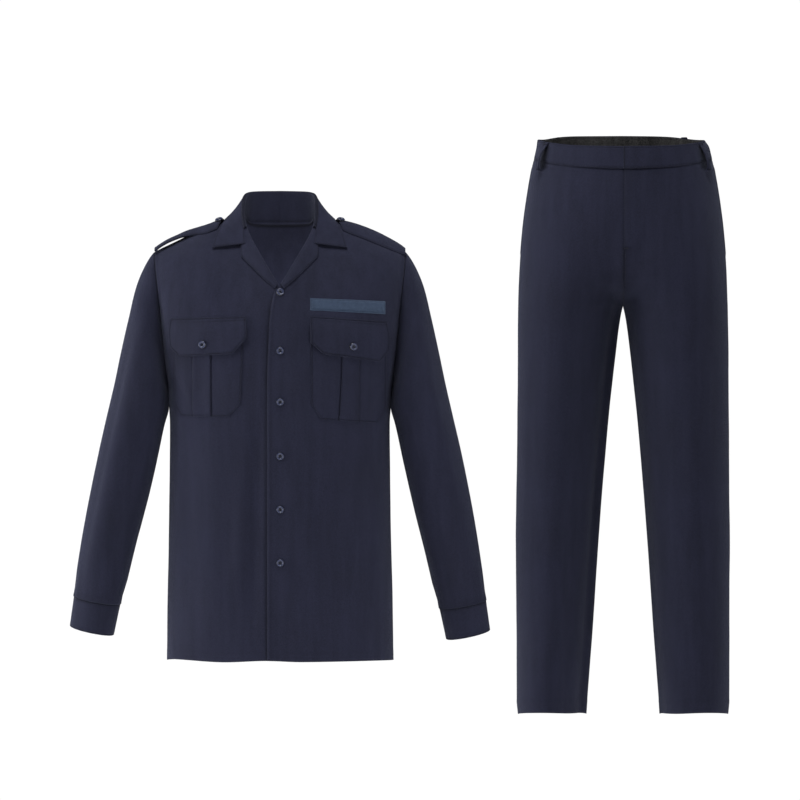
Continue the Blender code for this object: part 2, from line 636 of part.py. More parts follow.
def build_strap(side, flip, parent):
    table = STRAP_LEFT if side == "left" else STRAP_RIGHT
    v = np.array([-1.0, -0.75, -0.4, 0.0, 0.4, 0.75, 1.0])
    start = np.interp(v, (-1.0, -0.5, 0.0, 0.5, 1.0), STRAP_START)
    t = np.array([0.0, 0.12, 0.25, 0.4, 0.55, 0.7, 0.83, 0.93, 1.0])[:, None]
    x = start[None, :] * (1.0 - t) + STRAP_END * t
    grid = strap_surface(table, x, v[None, :] + 0.0 * x)
    normals = grid_normals(grid)
    if normals[5, 3, 2] < 0.0:
        normals = -normals
    f = np.array([flip, 1.0, 1.0])
    shell("epaulette_" + side, grid * f, DOUBLE, NAVY, normals * f, parent=parent)
    here = strap_surface(table, np.array([STRAP_BUTTON_X - 3.0, STRAP_BUTTON_X + 3.0]), np.array([0.0, 0.0]))
    along = unit(here[1] - here[0])
    n = unit(np.array([-along[2], 0.0, along[0]]))
    turned_button("strap_button_" + side, ((here[0] + here[1]) / 2.0 + n * 0.9) * f, n * f, parent)


def turned_button(name, foot, axis, parent):
    """A button on its axis, its back at the foot."""
    axis = np.asarray(axis, dtype=float)
    axis = axis / np.linalg.norm(axis)
    side = np.cross(axis, np.array([0.0, 0.0, 1.0]))
    if np.linalg.norm(side) < 0.3:
        side = np.cross(axis, np.array([1.0, 0.0, 0.0]))
    side /= np.linalg.norm(side)
    other = np.cross(axis, side)
    verts, faces = [], []
    for radius, height in BUTTON:
        for k in range(BUTTON_SIDES):
            a = 2.0 * math.pi * k / BUTTON_SIDES
            verts.append(foot + axis * height + side * radius * math.cos(a) + other * radius * math.sin(a))
    for ring in range(len(BUTTON) - 1):
        for k in range(BUTTON_SIDES):
            j = (k + 1) % BUTTON_SIDES
            lo, hi = ring * BUTTON_SIDES, (ring + 1) * BUTTON_SIDES
            faces.append((lo + k, lo + j, hi + j, hi + k))
    last = (len(BUTTON) - 1) * BUTTON_SIDES
    faces.append(tuple(reversed(range(BUTTON_SIDES))))
    faces.append(tuple(last + k for k in range(BUTTON_SIDES)))
    add_object(name, verts, faces, BUTTON_NAVY, 0.35, parent, (len(faces) - 1, len(faces) - 2))


def place_button(name, x, z, lift, upper, flip, parent):
    point, n = on_front(np.array([x]), np.array([z]), np.array([lift]), upper)
    f = np.array([flip, 1.0, 1.0])
    turned_button(name, point[0] * f, n[0] * f, parent)


def collar_section(row, last, fall):
    """Points up the stand, over the roll and down the fall; 'fall' are shares of the fall."""
    along, rx, ry, rz, fx, fy, fz = row
    front = along > NECK_X
    x_neck = 2.0 * NECK_X - along if front else along
    z_neck = float(top_limit(front, x_neck))
    y_neck = float(body_y(front, np.array(x_neck), np.array(z_neck))) * (-1.0 if front else 1.0)
    neck = np.array([x_neck, y_neck, z_neck])
    roll = np.array([rx, ry, rz])
    edge = np.array([fx, fy, fz])
    up = unit(roll - neck)
    foot = neck + up * 1.7
    away = unit(edge - roll)
    out = unit(away - up * np.dot(away, up))
    height = np.linalg.norm(roll - foot)
    bend = min(3.2, 0.75 * height)
    line = [foot, foot * 0.5 + (roll - up * bend) * 0.5, roll - up * bend]
    for angle in (60.0, 120.0, 180.0):
        a = math.radians(angle)
        line.append(roll - up * bend + up * bend * math.sin(a) + out * 3.1 * (1.0 - math.cos(a)))
    start = line[-1]
    if last:
        notch_y = -float(body_y(True, np.array(NOTCH[0]), np.array(NOTCH[1]))) - 7.4
        notch = np.array([NOTCH[0], notch_y, NOTCH[1]])
        cut = 0.45
        for s in fall:
            line.append(start + (notch - start) * s / cut if s <= cut else
                        notch + (edge - notch) * (s - cut) / (1.0 - cut))
    else:
        line += [start * (1.0 - s) + edge * s for s in fall]
    return line


def build_collar(parent):
    """Collar folded at its roll: up the stand, over, and down the fall."""
    t = np.linspace(0.0, 1.0, 2 * len(COLLAR) - 1)
    rows = rows_at(COLLAR, t)
    half = np.array([collar_section(row, k == len(rows) - 1, (0.45, 1.0)) for k, row in enumerate(rows)])
    full = np.concatenate([half[:0:-1] * MIRROR, half])
    normals = grid_normals(full)
    # the outer face is the one that shows on the fall
    if normals[len(half) - 1, -2, 1] < 0.0:
        normals = -normals
    shell("collar", full, 1.4, NAVY, normals, parent=parent)


# ---------------------------------------------------------------- trousers

def leg_share(share):
    """How far across the leg a column stands."""
    c = np.cos(np.pi * (1.0 - share) ** 1.1)
    return (1.0 + np.sign(c) * np.abs(c) ** (2.0 / LEG_POWER)) / 2.0


def waist_turn(share):
    """Angle from the front at which a column of the front panel meets the waist, in degrees."""
    return np.degrees(np.arcsin(leg_share(share) ** (LEG_POWER / 2.0)))


def leg_ring(front, z, share):
    """Point of one leg's half, share 0 at the inner seam and 1 at the side seam."""
    z = np.asarray(z, dtype=float)
    out = smooth(z, TROUSERS[:, 0], TROUSERS[:, 1])
    gap = smooth(z, TROUSERS[:, 0], TROUSERS[:, 2])
    depth = smooth(z, TROUSERS[:, 0], TROUSERS[:, 3 if front else 4])
    above = z >= CROTCH_Z
    split = smooth(z, RISE[:, 0], RISE[:, 1])
    soft = np.maximum(smooth(z, RISE[:, 0], RISE[:, 2]), 1e-6)
    half = np.where(above, out / (1.0 + split), (out - gap) / 2.0)
    centre = np.where(above, split * half, (out + gap) / 2.0)
    # above the crotch the ring is cut by the centre plane
    near = np.where(above, 0.0, gap)
    x = near + (out - near) * leg_share(share)
    seen = np.where(above, x + soft * np.exp(-x / soft) * (1.0 - ease(x / out)), x)
    y = depth * np.maximum(0.0, 1.0 - (np.abs(seen - centre) / half) ** LEG_POWER) ** (1.0 / LEG_POWER)
    return x, y * (-1.0 if front else 1.0), z


def trouser_panel(front, rows, columns):
    grid = np.zeros((len(rows) + 1, columns + 1, 3))
    for c in range(columns + 1):
        share = c / columns
        z = np.array(rows, dtype=float)
        turn = float(waist_turn(share))
        turn = turn if front else 180.0 - turn
        seam_z = float(waist_at(turn, 1)) - SEAM
        # rows above the hip spread evenly up to the waist seam
        free = z > -30.0
        z[free] = -30.0 + (z[free] + 30.0) * (seam_z + 30.0) / 125.0
        z = np.append(z, seam_z)
        x, y, _ = leg_ring(front, z, share)
        grid[:, c] = np.stack([x, y, z], axis=-1)
    grid[:, 0, 0] = np.maximum(grid[:, 0, 0], SEAM / 2.0)
    limit = np.minimum(grid[..., 1], -SEAM / 2.0) if front else np.maximum(grid[..., 1], SEAM / 2.0)
    grid[..., 1] = limit
    return grid


def waist_at(angle, column):
    return smooth(np.abs(angle), WAIST[:, 0], WAIST[:, column])


def waist_point(angle, z, lift):
    """Point round the waist: the angle in degrees from the front, towards +X."""
    a = np.radians(angle)
    width = smooth(z, TROUSERS[:, 0], TROUSERS[:, 1])
    front = smooth(z, TROUSERS[:, 0], TROUSERS[:, 3])
    rear = smooth(z, TROUSERS[:, 0], TROUSERS[:, 4])
    depth = np.where(np.cos(a) >= 0.0, front, rear)
    power = 2.0 / LEG_POWER
    s, c = np.sin(a), np.cos(a)
    x = (width + lift) * np.sign(s) * np.abs(s) ** power
    y = -(depth + lift) * np.sign(c) * np.abs(c) ** power
    return np.stack([x, y, z + 0.0 * x], axis=-1)


def build_trousers(parent):
    shift = np.array([TROUSER_X, 0.0, 0.0])
    for front in (True, False):
        grid = trouser_panel(front, TROUSER_ROWS, TROUSER_COLUMNS)
        normals = grid_normals(grid)
        if normals[3, 3, 1] * (1.0 if front else -1.0) > 0.0:
            normals = -normals
        above = np.array([z > CROTCH_Z + 0.5 for z in TROUSER_ROWS] + [True])
        normals[:, -1, 1] = 0.0
        normals[above, 0, 0] = 0.0
        normals[~above, 0, 1] = 0.0
        crotch = TROUSER_ROWS.index(CROTCH_Z)
        normals[crotch, 0] = (0.0, 0.0, -1.0)
        normals /= np.linalg.norm(normals, axis=-1, keepdims=True)
        for side, flip in (("left", 1.0), ("right", -1.0)):
            f = np.array([flip, 1.0, 1.0])
            name = "trouser_%s_%s" % ("front" if front else "back", side)
            shell(name, grid * f + shift, CLOTH, NAVY, normals * f, parent=parent)

    # the waistband is one strip that meets at the centre front
    quarter = waist_turn(np.arange(1, TROUSER_COLUMNS + 1) / TROUSER_COLUMNS)
    half_turn = np.concatenate([quarter, 180.0 - quarter[-2::-1], [180.0]])
    angles = np.concatenate([[0.16], half_turn, 360.0 - half_turn[-2::-1], [359.84]])
    signed = np.where(angles > 180.0, angles - 360.0, angles)
    low, high = waist_at(signed, 1), waist_at(signed, 2)
    rows = []
    for t in (0.0, 0.5, 1.0):
        rows.append(waist_point(signed, low * (1.0 - t) + high * t, 0.4))
    band = np.stack(rows)
    normals = grid_normals(band)
    middle = len(angles) // 2
    if normals[1, middle, 1] < 0.0:
        normals = -normals
    shell("waistband", band + shift, BAND, NAVY, normals, parent=parent)

    angles = half_turn[TROUSER_COLUMNS - 1:]
    angles = np.concatenate([angles, 360.0 - angles[-2::-1]])
    signed = np.where(angles > 180.0, angles - 360.0, angles)
    low, high = waist_at(signed, 1) + 1.0, waist_at(signed, 2) - 1.5
    inner = np.stack([waist_point(signed, low * (1.0 - t) + high * t, -2.5) for t in (0.0, 1.0)])
    normals = grid_normals(inner)
    if normals[0, 6, 1] < 0.0:
        normals = -normals
    shell("waistband_lining", inner + shift, 1.0, LINING, normals, parent=parent)

    for k, angle in enumerate(LOOP_ANGLES):
        build_loop("belt_loop_%d" % (k + 1), angle, shift, parent)


def build_loop(name, angle, shift, parent):
    span = math.degrees(LOOP_WIDTH / 2.0 / 150.0)
    if abs(angle) > 100.0 or abs(angle) < 40.0:
        span = math.degrees(LOOP_WIDTH / 2.0 / 125.0)
    top = float(waist_at(angle, 2)) - 0.5
    foot = float(waist_at(angle, 1)) - 11.0
    t = LOOP[:, 0]
    z = top * (1.0 - t) + foot * t
    grid = np.zeros((len(t), 3, 3))
    for c, da in enumerate((-span, 0.0, span)):
        grid[:, c] = waist_point(np.full(len(t), angle + da), z, 0.0)
    n = waist_point(np.full(len(t), angle), z, 1.0) - waist_point(np.full(len(t), angle), z, 0.0)
    n[:, 2] = 0.0
    n /= np.linalg.norm(n, axis=-1, keepdims=True)
    # the loop crosses the waist seam, where the band stands out a little
    grid = grid + n[:, None, :] * (LOOP[:, 1] + 1.9)[:, None, None]
    normals = grid_normals(grid)
    if np.dot(normals[2, 1], n[2]) < 0.0:
        normals = -normals
    shell(name, grid + shift, 1.3, NAVY, normals, parent=parent)


def main():
    clear_scene()
    shirt = bpy.data.objects.new("shirt", None)
    trousers = bpy.data.objects.new("trousers", None)
    for item in (shirt, trousers):
        item.empty_display_size = 0.05
        bpy.context.scene.collection.objects.link(item)
    bpy.context.view_layer.update()
    build_shirt(shirt)
    build_trousers(trousers)


main()
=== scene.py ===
"""Looks of the navy work uniform: the cloth, its folds, seams and stitching, the buttons, the light and the camera.

Sizes in the tables are millimetres; meshes are made in metres, +Z up, front towards -Y.
Left and right are the wearer's: left is +X.
"""
import math

import bpy
import numpy as np
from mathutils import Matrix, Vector


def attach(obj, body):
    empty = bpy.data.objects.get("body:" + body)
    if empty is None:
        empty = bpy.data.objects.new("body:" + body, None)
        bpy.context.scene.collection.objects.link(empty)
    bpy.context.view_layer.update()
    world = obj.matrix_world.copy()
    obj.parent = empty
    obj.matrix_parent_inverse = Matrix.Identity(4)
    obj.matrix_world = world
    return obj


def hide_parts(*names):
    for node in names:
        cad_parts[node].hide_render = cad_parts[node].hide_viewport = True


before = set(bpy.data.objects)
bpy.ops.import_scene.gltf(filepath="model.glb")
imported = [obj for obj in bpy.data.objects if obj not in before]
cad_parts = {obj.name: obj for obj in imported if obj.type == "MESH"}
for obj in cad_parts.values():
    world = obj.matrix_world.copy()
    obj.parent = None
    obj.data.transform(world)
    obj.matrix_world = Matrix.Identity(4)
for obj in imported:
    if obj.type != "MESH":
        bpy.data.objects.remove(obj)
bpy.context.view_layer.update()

MM = 0.001
RING_POWER = 2.4      # squareness of the shirt's body rings
LEG_POWER = 2.15      # squareness of the trouser rings
UNDERARM_Z = -290.0
YOKE_Z = -200.0       # above this the body slopes in to the shoulder
ARM_DEPTH = 50.0      # how far the armhole stands from the side, front and back
SHOULDER_X = 219.5
NECK_X = 64.0
LAP_LIFT = 3.1        # how far the upper front stands off the under front
TROUSER_X = 600.25    # centre line of the trousers

# shirt body rings: z, half width, depth to the front, depth to the back
BODY = np.array([
    (-764.0, 197.4, 112.0, 107.0),
    (-660.0, 196.2, 113.0, 105.0),
    (-555.0, 193.8, 114.0, 101.0),
    (-450.0, 192.3, 116.0, 98.0),
    (-351.0, 191.6, 120.0, 100.0),
    (-320.0, 192.8, 121.0, 102.0),
    (-290.0, 195.5, 122.0, 104.0),
    (-257.0, 199.5, 121.5, 106.0),
    (-222.0, 203.0, 120.5, 108.0),
    (-190.0, 206.0, 120.0, 108.0),
    (-157.0, 209.0, 120.0, 108.0),
    (-130.0, 212.0, 120.0, 108.0),
    (-108.0, 214.8, 120.0, 108.0),
    (-80.0, 218.0, 120.0, 108.0),
    (-51.0, 219.5, 120.0, 108.0),
    (60.0, 219.5, 120.0, 108.0)])

# shoulder line: x, z
CREST = np.array([
    (0.0, 46.0), (40.0, 27.0), (64.0, 13.0), (94.0, 3.5), (126.0, -6.5), (150.0, -17.0),
    (175.0, -29.6), (189.0, -36.4), (206.0, -44.4), (219.5, -51.0)])

# front neckline and roll of the lapel: x, z
NECK_FRONT = np.array([
    (-21.0, -119.0), (-5.0, -116.0), (0.0, -113.0), (13.0, -94.0), (28.0, -68.0), (41.0, -45.5),
    (54.5, -20.0), (57.5, -9.0), (62.0, 3.0), (64.0, 13.0)])

# back neckline: x, z
NECK_BACK = np.array([(0.0, -1.5), (24.0, -1.4), (42.0, -1.0), (52.0, 0.2), (58.0, 4.0), (64.0, 13.0)])

# front edge of the upper front: z, x
LAP_EDGE = np.array([
    (-764.0, -21.0), (-310.0, -21.0), (-243.0, -20.0), (-207.0, -18.4), (-162.0, -15.8),
    (-132.0, -11.0), (-114.0, -5.0)])
UNDER_EDGE = -19.0    # the under front's edge past the centre line

# sleeve rings: outer x, outer z, inner x, inner z, half depth, centre y, tilt
SLEEVE = np.array([
    (228.0, -62.0, 196.4, -293.0, 53.0, 0.0, 0.0),
    (239.0, -82.0, 196.0, -296.5, 58.0, 0.0, 0.0),
    (251.5, -114.0, 195.5, -301.0, 64.0, 0.0, 0.0),
    (263.0, -162.0, 195.0, -307.0, 69.0, -0.5, 0.0),
    (276.0, -220.0, 194.7, -314.5, 72.0, -1.0, 1.0),
    (289.0, -281.0, 195.4, -325.0, 73.0, -2.0, 1.5),
    (301.0, -332.0, 202.6, -352.0, 72.0, -3.0, 2.0),
    (316.5, -400.0, 216.0, -416.0, 67.0, -5.0, 2.5),
    (332.5, -480.0, 236.2, -503.0, 59.0, -7.5, 3.0),
    (345.5, -551.0, 254.0, -572.0, 52.0, -9.5, 3.5),
    (354.5, -610.0, 267.6, -629.0, 46.0, -11.5, 4.0),
    (359.4, -654.6, 277.0, -668.6, 42.0, -13.0, 4.0)])

# cuff rings, the same columns
CUFF = np.array([
    (359.9, -656.0, 279.4, -670.2, 40.6, -13.0, 4.5),
    (363.8, -682.0, 285.2, -697.4, 39.4, -13.6, 4.5),
    (367.2, -707.6, 290.8, -723.4, 38.6, -14.2, 4.5)])

# collar from the centre back to the front point: neckline x (past the
# shoulder it comes back along the front), roll x, y, z and outer edge x, y, z
COLLAR = np.array([
    (0.0, 0.0, 61.5, 57.8, 0.0, 78.0, -12.0),
    (22.0, 23.0, 58.5, 57.5, 34.0, 75.0, -11.0),
    (40.0, 43.0, 47.0, 56.4, 63.0, 62.5, -8.0),
    (53.0, 56.0, 28.0, 52.8, 84.0, 39.0, 2.0),
    (64.0, 61.0, 6.0, 40.0, 94.0, 9.0, 8.4),
    (65.4, 61.0, -12.0, 22.0, 101.5, -17.5, -2.0),
    (67.8, 60.0, -24.0, 8.5, 110.0, -39.5, -20.0),
    (70.6, 58.4, -37.0, -4.5, 117.6, -57.5, -43.0)])
NOTCH = (61.0, -36.0)

# lapel rows from the gorge down: roll x, z, middle x, z and outer edge x, z
LAPEL = np.array([
    (57.0, -11.5, 57.9, -38.5, 66.8, -59.0),
    (47.5, -33.0, 53.0, -51.0, 61.0, -66.5),
    (36.0, -54.0, 42.5, -66.0, 50.0, -77.5),
    (24.0, -75.0, 30.0, -83.0, 37.0, -90.5),
    (12.5, -94.5, 18.0, -99.3, 23.5, -103.5),
    (3.0, -109.0, 5.5, -112.8, 8.0, -116.0)])

# breast pockets on the front: z at the inner side, z at the outer side,
# inner edge x, pleat's inner and outer edge x, outer edge x
POCKET_RIGHT = np.array([
    (-198.0, -200.0, 61.5, 119.5, 148.8, 184.8),
    (-258.0, -259.0, 64.0, 119.5, 148.8, 184.8),
    (-316.8, -318.2, 66.7, 119.6, 148.6, 182.6),
    (-339.0, -337.5, 86.8, 119.6, 148.6, 170.6)])
POCKET_LEFT = np.array([
    (-203.0, -212.0, 54.1, 109.8, 138.2, 185.5),
    (-262.0, -269.0, 54.8, 108.4, 137.4, 185.2),
    (-317.6, -327.0, 55.8, 105.4, 136.0, 184.6),
    (-343.5, -349.8, 71.0, 104.3, 135.4, 169.2)])
# flaps: z at the inner side, z at the outer side, inner edge x, outer edge x
FLAP_RIGHT = np.array([
    (-164.6, -168.0, 58.6, 189.4),
    (-183.0, -190.0, 57.0, 190.4),
    (-201.4, -216.0, 56.0, 187.0),
    (-229.4, -233.8, 80.2, 172.2)])
FLAP_LEFT = np.array([
    (-164.0, -172.9, 54.1, 186.2),
    (-187.0, -198.0, 54.0, 189.4),
    (-210.5, -223.0, 54.1, 187.2),
    (-229.8, -242.4, 76.5, 171.2)])
TAPE = np.array([
    (-133.0, -138.2, 54.1, 183.6),
    (-153.4, -159.6, 54.1, 183.6)])

# shoulder straps: x, top z, drop of the edges, least half width
STRAP_LEFT = np.array([
    (95.0, 7.5, 14.0, 18.0), (106.0, 6.0, 17.0, 19.5), (128.0, 1.0, 21.5, 22.0), (163.0, -11.5, 22.5, 23.0),
    (196.0, -28.0, 19.5, 23.0), (213.0, -38.5, 15.5, 22.0), (219.2, -43.5, 11.5, 21.0)])
STRAP_RIGHT = np.array([
    (95.0, 8.5, 14.0, 18.0), (106.0, 6.0, 15.5, 19.5), (128.0, -2.0, 15.5, 22.0), (143.5, -6.7, 12.7, 23.0),
    (164.0, -13.0, 9.0, 23.0), (177.0, -18.9, 6.2, 23.0), (197.6, -28.4, 5.2, 23.0), (211.4, -37.0, 4.8, 22.0),
    (219.4, -42.8, 6.0, 21.0)])
STRAP_START = (110.0, 104.5, 98.5, 98.0, 100.0)   # x of the neck end, front edge to back edge
STRAP_END = 219.2
STRAP_CLEAR = 3.4
STRAP_BUTTON_X = 106.5

FRONT_BUTTON_X = 1.6
FRONT_BUTTON_Z = (-122.0, -224.0, -313.3, -407.8, -500.5, -593.3)
FLAP_BUTTONS = {"right": (131.3, -213.2), "left": (126.7, -217.0)}
# button, turned: radius, height from its back
BUTTON = ((5.75, 0.0), (5.75, 1.5), (5.0, 2.4), (3.9, 2.1), (3.3, 1.5))
BUTTON_SIDES = 16

# trousers: z, outer half width, inner gap, depth to the front, depth to the back
TROUSERS = np.array([
    (-857.0, 183.2, 64.6, 76.0, 74.0),
    (-835.0, 185.0, 63.1, 77.0, 75.0),
    (-730.0, 185.3, 55.0, 79.0, 76.0),
    (-625.0, 185.9, 48.0, 81.0, 78.0),
    (-555.0, 186.6, 43.3, 83.0, 80.0),
    (-485.0, 185.7, 38.0, 85.0, 82.0),
    (-415.0, 184.8, 32.0, 88.0, 86.0),
    (-345.0, 184.2, 25.9, 92.0, 90.0),
    (-275.0, 183.5, 18.6, 96.0, 96.0),
    (-222.0, 183.4, 12.6, 99.0, 101.0),
    (-187.0, 183.1, 8.3, 101.5, 107.0),
    (-160.0, 182.7, 4.0, 104.0, 112.0),
    (-143.0, 182.4, 0.0, 106.2, 115.3),
    (-120.0, 181.8, -5.0, 109.0, 119.0),
    (-82.0, 180.3, -5.0, 113.0, 124.0),
    (-47.0, 177.9, -5.0, 115.5, 126.0),
    (-12.0, 174.9, -5.0, 117.0, 126.0),
    (23.0, 170.7, -5.0, 117.5, 125.0),
    (58.0, 165.6, -5.0, 116.5, 123.5),
    (86.0, 160.6, -5.0, 115.0, 121.0),
    (114.0, 155.0, -5.0, 112.5, 118.5),
    (135.0, 150.6, -5.0, 110.5, 117.0),
    (160.0, 148.0, -5.0, 109.0, 116.0)])
CROTCH_Z = -143.0
# above the crotch: z, how far the two legs are still apart, softness of the valley between
RISE = np.array([
    (-143.0, 1.00, 0.0), (-136.0, 0.985, 2.0), (-128.0, 0.95, 6.0), (-118.0, 0.89, 12.0), (-105.0, 0.81, 20.0),
    (-85.0, 0.69, 29.0), (-60.0, 0.55, 36.0), (-25.0, 0.38, 40.0), (15.0, 0.21, 40.0), (55.0, 0.08, 40.0),
    (92.0, 0.0, 40.0), (170.0, 0.0, 40.0)])
TROUSER_ROWS = (-857.0, -730.0, -600.0, -470.0, -345.0, -265.0, -205.0, -168.0, -143.0, -134.0, -120.0,
                -98.0, -68.0, -25.0, 20.0, 63.0)
TROUSER_COLUMNS = 6
# angle from the front round to the back: waist seam z, waistband top z
WAIST = np.array([
    (0.0, 93.3, 131.8), (30.0, 96.6, 133.4), (57.0, 103.8, 139.0), (75.0, 108.6, 143.2), (90.0, 110.5, 145.6),
    (122.0, 113.0, 150.6), (150.0, 115.4, 153.6), (180.0, 116.4, 154.4)])
LOOP_ANGLES = (62.0, 135.0, 180.0, -135.0, -62.0)
LOOP_WIDTH = 10.5
# belt loop down its length: share of the way, stand-off from the waistband
LOOP = np.array([(0.0, 0.7), (0.12, 4.2), (0.32, 7.0), (0.68, 7.0), (0.88, 4.2), (1.0, 0.7)])




def smooth(x, xs, ys):
    """Monotone cubic through the points of a table."""
    x = np.asarray(x, dtype=float)
    xs = np.asarray(xs, dtype=float)
    ys = np.asarray(ys, dtype=float)
    step = np.diff(xs)
    slope = np.diff(ys) / step
    m = np.zeros_like(ys)
    m[0], m[-1] = slope[0], slope[-1]
    for i in range(1, len(xs) - 1):
        if slope[i - 1] * slope[i] > 0.0:
            w1 = 2.0 * step[i] + step[i - 1]
            w2 = step[i] + 2.0 * step[i - 1]
            m[i] = (w1 + w2) / (w1 / slope[i - 1] + w2 / slope[i])
    k = np.clip(np.searchsorted(xs, x) - 1, 0, len(xs) - 2)
    t = np.clip((x - xs[k]) / step[k], 0.0, 1.0)
    h00 = (1.0 + 2.0 * t) * (1.0 - t) ** 2
    h10 = t * (1.0 - t) ** 2
    h01 = t * t * (3.0 - 2.0 * t)
    h11 = t * t * (t - 1.0)
    return h00 * ys[k] + h10 * step[k] * m[k] + h01 * ys[k + 1] + h11 * step[k] * m[k + 1]


def ease(t):
    t = np.clip(t, 0.0, 1.0)
    return t * t * (3.0 - 2.0 * t)


def rows_at(table, t):
    """Rows of a table between its own rows, by the share t of its length."""
    keys = np.linspace(0.0, 1.0, len(table))
    return np.stack([smooth(t, keys, table[:, c]) for c in range(table.shape[1])], axis=-1)


def unit(v):
    return v / np.maximum(np.linalg.norm(v, axis=-1, keepdims=True), 1e-12)


def tangents(points):
    """Directions along the first axis: the bisector of the steps before and after."""
    step = unit(np.diff(points, axis=0))
    return unit(np.concatenate([step[:1], step[1:] + step[:-1], step[-1:]]))


def grid_normals(points, closed=False):
    """Unit normals of a grid of points, from its own rows and columns."""
    across = np.swapaxes(points, 0, 1)
    if closed:
        wide = np.concatenate([across[-1:], across, across[:1]])
        dv = np.swapaxes(tangents(wide)[1:-1], 0, 1)
    else:
        dv = np.swapaxes(tangents(across), 0, 1)
    return unit(np.cross(tangents(points), dv))


def ring_shape(front, z):
    """Width, depth and armhole share of the body's ring at height z."""
    width = smooth(z, BODY[:, 0], BODY[:, 1])
    depth = smooth(z, BODY[:, 0], BODY[:, 2 if front else 3])
    reach = np.clip((YOKE_Z - z) / (YOKE_Z - UNDERARM_Z), 0.0, 1.0)
    arm = ARM_DEPTH * np.sqrt(np.maximum(0.0, 1.0 - reach * reach))
    share = (1.0 - (arm / depth) ** RING_POWER) ** (1.0 / RING_POWER)
    return width, depth, share


def slope_in(front, x, z, depth_y):
    """The body's depth, drawn in towards the shoulder line above the yoke height."""
    top = smooth(np.minimum(np.abs(x), SHOULDER_X), CREST[:, 0], CREST[:, 1])
    t = np.clip((z - YOKE_Z) / (top - YOKE_Z), 0.0, 1.0)
    w = ease((np.abs(x) - 60.0) / (SHOULDER_X - 60.0))
    if front:
        p, q = 1.5 + 0.5 * w, 1.3 + 0.7 * w
    else:
        p, q = 2.2 - 0.2 * w, 1.5 + 0.5 * w
    return depth_y * (1.0 - t ** p) ** (1.0 / q)


def body_x(front, x_top, z):
    """x at height z of the column that meets the shoulder line at x_top."""
    width, depth, share = ring_shape(front, z)
    _, _, yoke_share = ring_shape(front, YOKE_Z)
    angle_top = math.asin(yoke_share ** (RING_POWER / 2.0))
    s = np.clip(x_top / SHOULDER_X, 0.0, 1.0)
    r = np.arcsin(np.clip((s * yoke_share) ** (RING_POWER / 2.0), 0.0, 1.0)) / angle_top
    angle = np.arcsin(np.clip(share ** (RING_POWER / 2.0), 0.0, 1.0))
    return width / share * np.sin(r * angle) ** (2.0 / RING_POWER)


def body_y(front, x, z):
    """Depth of the body's surface at x, z, positive towards its own side."""
    width, depth, share = ring_shape(front, z)
    a = width / share
    y = depth * np.maximum(0.0, 1.0 - (np.abs(x) / a) ** RING_POWER) ** (1.0 / RING_POWER)
    return slope_in(front, x, z, y)


def lap_lift(x):
    return LAP_LIFT * (1.0 - ease((x - 22.0) / 45.0))


def top_limit(front, x):
    """Height of the neckline and shoulder line at x."""
    table = NECK_FRONT if front else NECK_BACK
    neck = smooth(np.clip(x, table[0, 0], NECK_X), table[:, 0], table[:, 1])
    crest = smooth(np.clip(x, NECK_X, SHOULDER_X), CREST[:, 0], CREST[:, 1])
    return np.where(x < NECK_X, neck, crest)


def on_front(x, z, lift, upper):
    """A point of the front's surface moved out by the lift, on the +X side."""
    x = np.asarray(x, dtype=float)
    z = np.asarray(z, dtype=float)
    h = 1.0

    def depth(px, pz):
        y = -body_y(True, px, pz)
        return y - lap_lift(px) if upper else y
    y = depth(x, z)
    gx = (depth(x + h, z) - depth(x - h, z)) / (2.0 * h)
    gz = (depth(x, z + h) - depth(x, z - h)) / (2.0 * h)
    n = np.stack([gx, -np.ones_like(y), gz], axis=-1)
    n /= np.linalg.norm(n, axis=-1, keepdims=True)
    return np.stack([x, y, z], axis=-1) + n * np.asarray(lift)[..., None], n


def sleeve_ring(row, angles):
    ox, oz, ix, iz, depth, y0, tilt = row
    c, s = np.cos(angles), np.sin(angles)
    x = (ox + ix) / 2.0 + (ox - ix) / 2.0 * c
    z = (oz + iz) / 2.0 + (oz - iz) / 2.0 * c - tilt * s
    y = y0 - depth * np.sign(s) * np.abs(s) ** 0.94
    return np.stack([x, y, z], axis=-1)


def strap_surface(table, x, v):
    """Point of the shoulder strap, v from -1 at the front edge to 1 at the back edge."""
    top = smooth(x, table[:, 0], table[:, 1])
    drop = smooth(x, table[:, 0], table[:, 2])
    half = smooth(x, table[:, 0], table[:, 3])
    foot = top - drop - STRAP_CLEAR
    front = np.maximum(half, body_y(True, x, foot))
    rear = np.maximum(half, body_y(False, x, foot))
    y = np.where(v < 0.0, front, rear) * v
    return np.stack([x + 0.0 * v, y, top - drop * np.abs(v) ** 1.9], axis=-1)


def leg_share(share):
    """How far across the leg a column stands."""
    c = np.cos(np.pi * (1.0 - share) ** 1.1)
    return (1.0 + np.sign(c) * np.abs(c) ** (2.0 / LEG_POWER)) / 2.0


def waist_turn(share):
    """Angle from the front at which a column of the front panel meets the waist, in degrees."""
    return np.degrees(np.arcsin(leg_share(share) ** (LEG_POWER / 2.0)))


